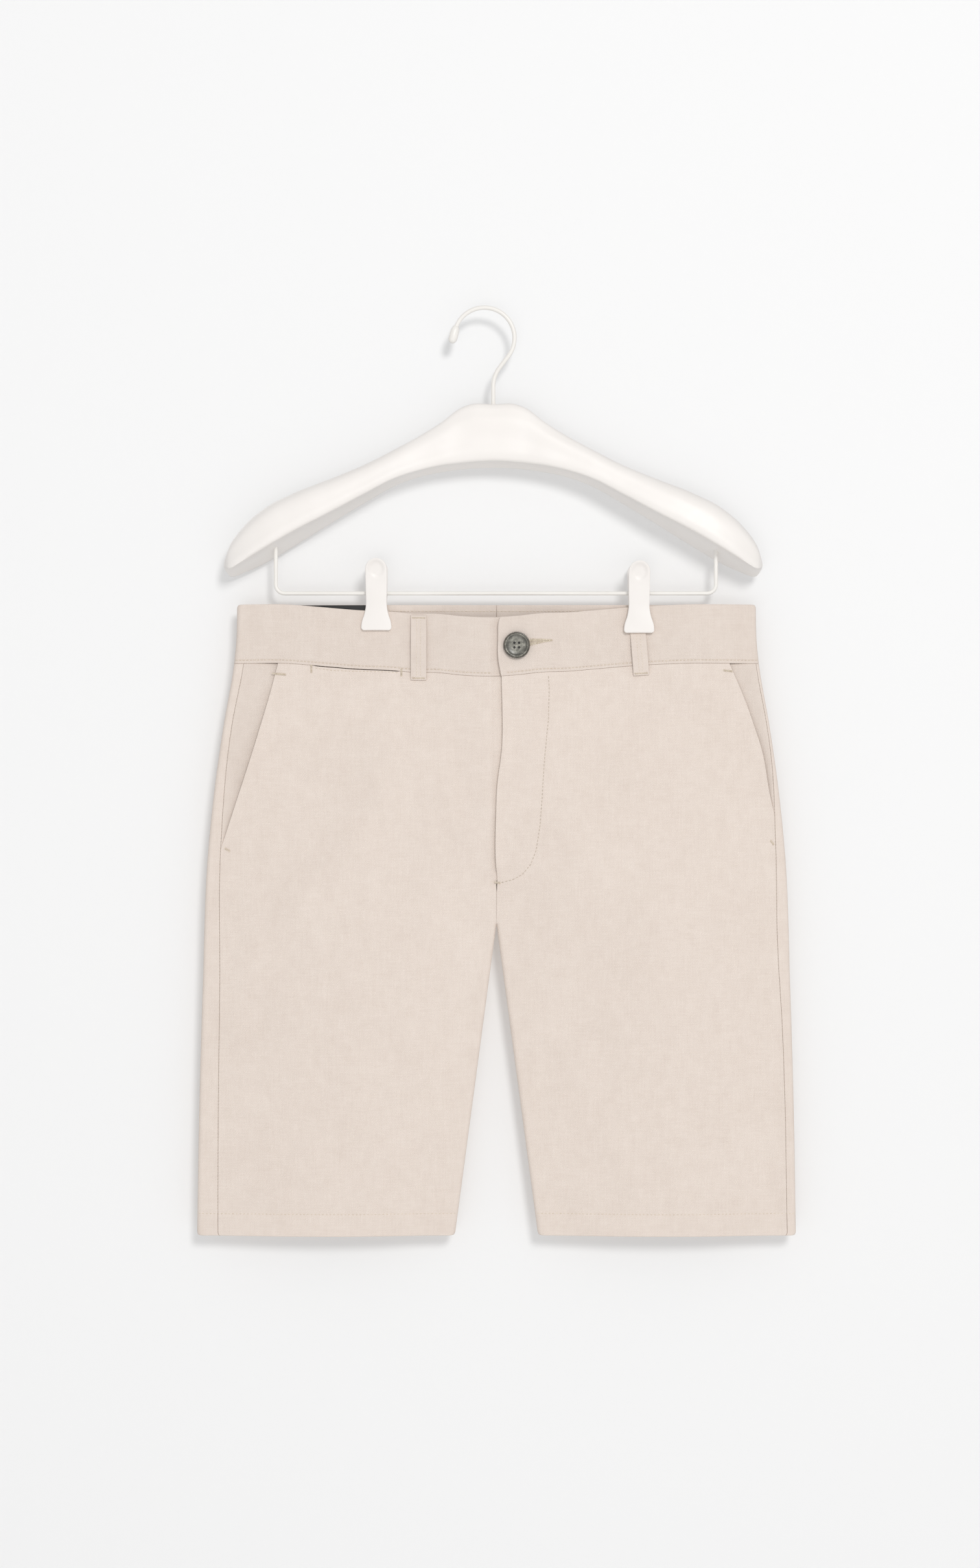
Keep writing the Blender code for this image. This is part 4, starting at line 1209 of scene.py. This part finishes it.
def clip_plate(word, part, away):
    """One jaw and its lever, with a dished grip and rounded edges."""
    node = f"clip_{word}_{part}"
    x = middle(node)[0]
    top = high(node)[2]
    length = min(CLIP_SEEN, top - low(node)[2])
    jaw = -high(node)[1] if away < 0 else low(node)[1]
    turn = np.linspace(0, math.pi / 2, 9)[:-1]
    fall = np.concatenate((
        CLIP_TOP_RADIUS * (1 - np.cos(turn)),
        np.linspace(CLIP_TOP_RADIUS, length - CLIP_CORNER, 34),
        length - CLIP_CORNER * (1 - np.sin(turn[1:])), [length],
    ))[:, None]
    round_top = np.sqrt(np.maximum(0, 1 - (1 - np.minimum(fall / CLIP_TOP_RADIUS, 1)) ** 2))
    corner = np.clip((fall - length + CLIP_CORNER) / CLIP_CORNER, 0, 1)
    half = np.maximum(0.4, curved(CLIP_OUTLINE, "half_width", fall) * round_top)
    half = half - CLIP_CORNER * (1 - np.sqrt(1 - corner**2))
    steps = np.array((0, 0.1, 0.35, 0.75, 1.3)) / 12
    across = np.concatenate((-1 + steps, np.linspace(-0.84, 0.84, 15), 1 - steps[::-1])) * half
    beside = np.minimum(half - np.abs(across), np.minimum(fall, length - fall) * 1.4)
    rim = rim_inset(beside, CLIP_PLATE)
    dish = 1.3 * ease(1.6 * (1 - (across / 6.9) ** 2 - ((fall - 8.4) / 7.0) ** 2))
    crown = 0.5 * (1 - (across / half) ** 2) * ease((fall - 16) / 10)
    near = jaw + curved(CLIP_OUTLINE, "lean", fall) + rim
    far = np.maximum(near, near + CLIP_PLATE - 2 * rim + (crown - dish) * (rim < 0.01))
    faces = [np.stack(np.broadcast_arrays(x + across, away * at, top - fall), -1) for at in (far, near)]
    shell(f"clip_{word}_{part}_plate", *faces, PLASTIC, "plastic", [node])


def clip_hinge(word):
    """The knuckle round the bar."""
    node = f"clip_{word}_hinge"
    x, _, z = middle(node)
    half, _, radius = (high(node) - low(node)) / 2
    bore = BAR_WIRE + 0.15
    profile = (
        (-half, bore), (-half, radius - 0.4), (-half + 0.4, radius),
        (half - 0.4, radius), (half, radius - 0.4), (half, bore), (-half, bore),
    )
    ring = circle(BACKWARDS, UP, KNUCKLE_SIDES)
    points = np.concatenate([np.array((x + at, 0, z)) + reach * ring for at, reach in profile])
    mesh = mesh_of(node, points, grid_faces(len(profile), KNUCKLE_SIDES, ring=True).tolist())
    made = finish_piece(f"clip_{word}_knuckle", mesh, PLASTIC, [node])
    made.data.set_sharp_from_angle(angle=math.radians(40))


# ---------------- studio

VIEW_CENTRE = (0.0046, -0.3806)     # metres: where the camera looks, x and z
VIEW_DISTANCE = 2.1
VIEW_HEIGHT = 1.2584
WALL_Y = 0.021
FLOOR_Z = -1.35
# Each light: its place and width in metres, its power in watts, and its colour.
LIGHTS = {
    "key": ((1.2, -4.6, 1.6), 1.3, 84, (1.0, 0.987, 0.972)),
    "low_fill": ((-0.3, -3.0, -1.15), 1.4, 8, (1.0, 0.985, 0.965)),
    "back_fill": ((-1.4, 2.6, 0.9), 1.6, 7, (1.0, 1.0, 1.0)),
}


def backdrop(name, corners, colour):
    """A pale matt plane, which isn't part of the object."""
    paint = Paint(f"{name}_paint", Base_Color=(*colour, 1), Roughness=0.9, Specular_IOR_Level=0.1)
    mesh = bpy.data.meshes.new(name)
    mesh.from_pydata(corners, [], [(0, 1, 2, 3)])
    mesh.materials.append(paint.material)
    made = bpy.data.objects.new(name, mesh)
    bpy.context.scene.collection.objects.link(made)
    return made, paint


def see_through_behind(paint):
    """Leave only the front face of a wall, so that the object shows from behind it."""
    backfacing = paint.node("NewGeometry", {})["Backfacing"]
    clear = paint.node("BsdfTransparent", {})[0]
    mixed = paint.node("MixShader", {0: backfacing, 1: paint.shader.outputs[0], 2: clear})[0]
    paint.link(mixed, paint.tree.nodes["Material Output"].inputs["Surface"])


def studio():
    corners = [(-4, WALL_Y, -3), (4, WALL_Y, -3), (4, WALL_Y, 3), (-4, WALL_Y, 3)]
    wall, paint = backdrop("wall", corners, (0.888, 0.893, 0.898))
    see_through_behind(paint)
    wall.visible_shadow = False
    wall.visible_diffuse = False
    wall.visible_glossy = False
    corners = [(-4, -5, FLOOR_Z), (4, -5, FLOOR_Z), (4, 5, FLOOR_Z), (-4, 5, FLOOR_Z)]
    backdrop("floor", corners, (0.92, 0.92, 0.92))
    scene = bpy.context.scene
    target = Vector((VIEW_CENTRE[0], 0.0, VIEW_CENTRE[1]))
    for name, (place, width, power, colour) in LIGHTS.items():
        light = bpy.data.lights.new(name, "AREA")
        light.shape = "DISK"
        light.size = width
        light.energy = power
        light.color = colour
        made = bpy.data.objects.new(name, light)
        scene.collection.objects.link(made)
        made.location = place
        made.rotation_euler = (target - made.location).to_track_quat("-Z", "Y").to_euler()
    scene.world = bpy.data.worlds.new("soft_room")
    scene.world.use_nodes = True
    sky = scene.world.node_tree.nodes["Background"].inputs
    sky["Color"].default_value = (1, 1, 1, 1)
    sky["Strength"].default_value = 0.65
    scene.view_settings.view_transform = "Standard"


def camera():
    data = bpy.data.cameras.new("camera")
    data.lens = data.sensor_width * VIEW_DISTANCE / VIEW_HEIGHT
    made = bpy.data.objects.new("camera", data)
    bpy.context.scene.collection.objects.link(made)
    made.location = (VIEW_CENTRE[0], -VIEW_DISTANCE, VIEW_CENTRE[1])
    made.rotation_euler = (math.pi / 2, 0, 0)
    bpy.context.scene.camera = made


LEFT = (1, "left")       # the wearer's left, towards +X
RIGHT = (-1, "right")


def main():
    camera()
    front_left = front_panel(*LEFT)
    front_right = front_panel(*RIGHT)
    back_left = back_panel(*LEFT)
    back_right = back_panel(*RIGHT)
    facing_right = pocket_facing(*RIGHT)
    facing_left = pocket_facing(*LEFT)
    band_right = waistband(*RIGHT)
    band_left = waistband(*LEFT)
    loops = [belt_loop(loop) for loop in LOOPS]
    tape = label()
    band_rows = band_threads()
    hole = buttonhole()
    fly = fly_threads()
    hem = hem_threads()
    tacks = pocket_threads()
    side_rows = side_threads()
    loop_rows = loop_threads()
    button()
    hanger_body()
    hook()
    bar()
    for word in ("right", "left"):
        clip_plate(word, "front", -1)
        clip_plate(word, "back", 1)
        clip_hinge(word)
    studio()

    clips = ["clip_right_front_plate", "clip_left_front_plate"]
    right = ["band_right"]
    left = ["band_left"]
    # Each sheet: its flat size and area in metres, what it hangs from, and the threads on it.
    sheets = [
        (front_right, (0.240, 0.462), 0.0960, right, [tacks]),
        (front_left, (0.240, 0.462), 0.0985, left, [fly]),
        (back_right, (0.258, 0.462), 0.1100, right, [hem]),
        (back_left, (0.250, 0.462), 0.1080, left, [side_rows]),
        (facing_right, (0.048, 0.158), 0.0061, right, []),
        (facing_left, (0.041, 0.158), 0.0048, left, []),
        (band_right, (0.453, 0.048), None, clips, [band_rows]),
        (band_left, (0.420, 0.048), None, clips, [hole]),
    ]
    for index, loop in enumerate(loops):
        sheets.append((loop, (0.0126, 0.054), None, right + left, [] if index else [loop_rows]))
    sheets.append((tape, (0.067, 0.034), None, right, []))
    for piece, flat, area, rests_on, rows in sheets:
        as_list(rests_on)
        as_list(rows)


main()
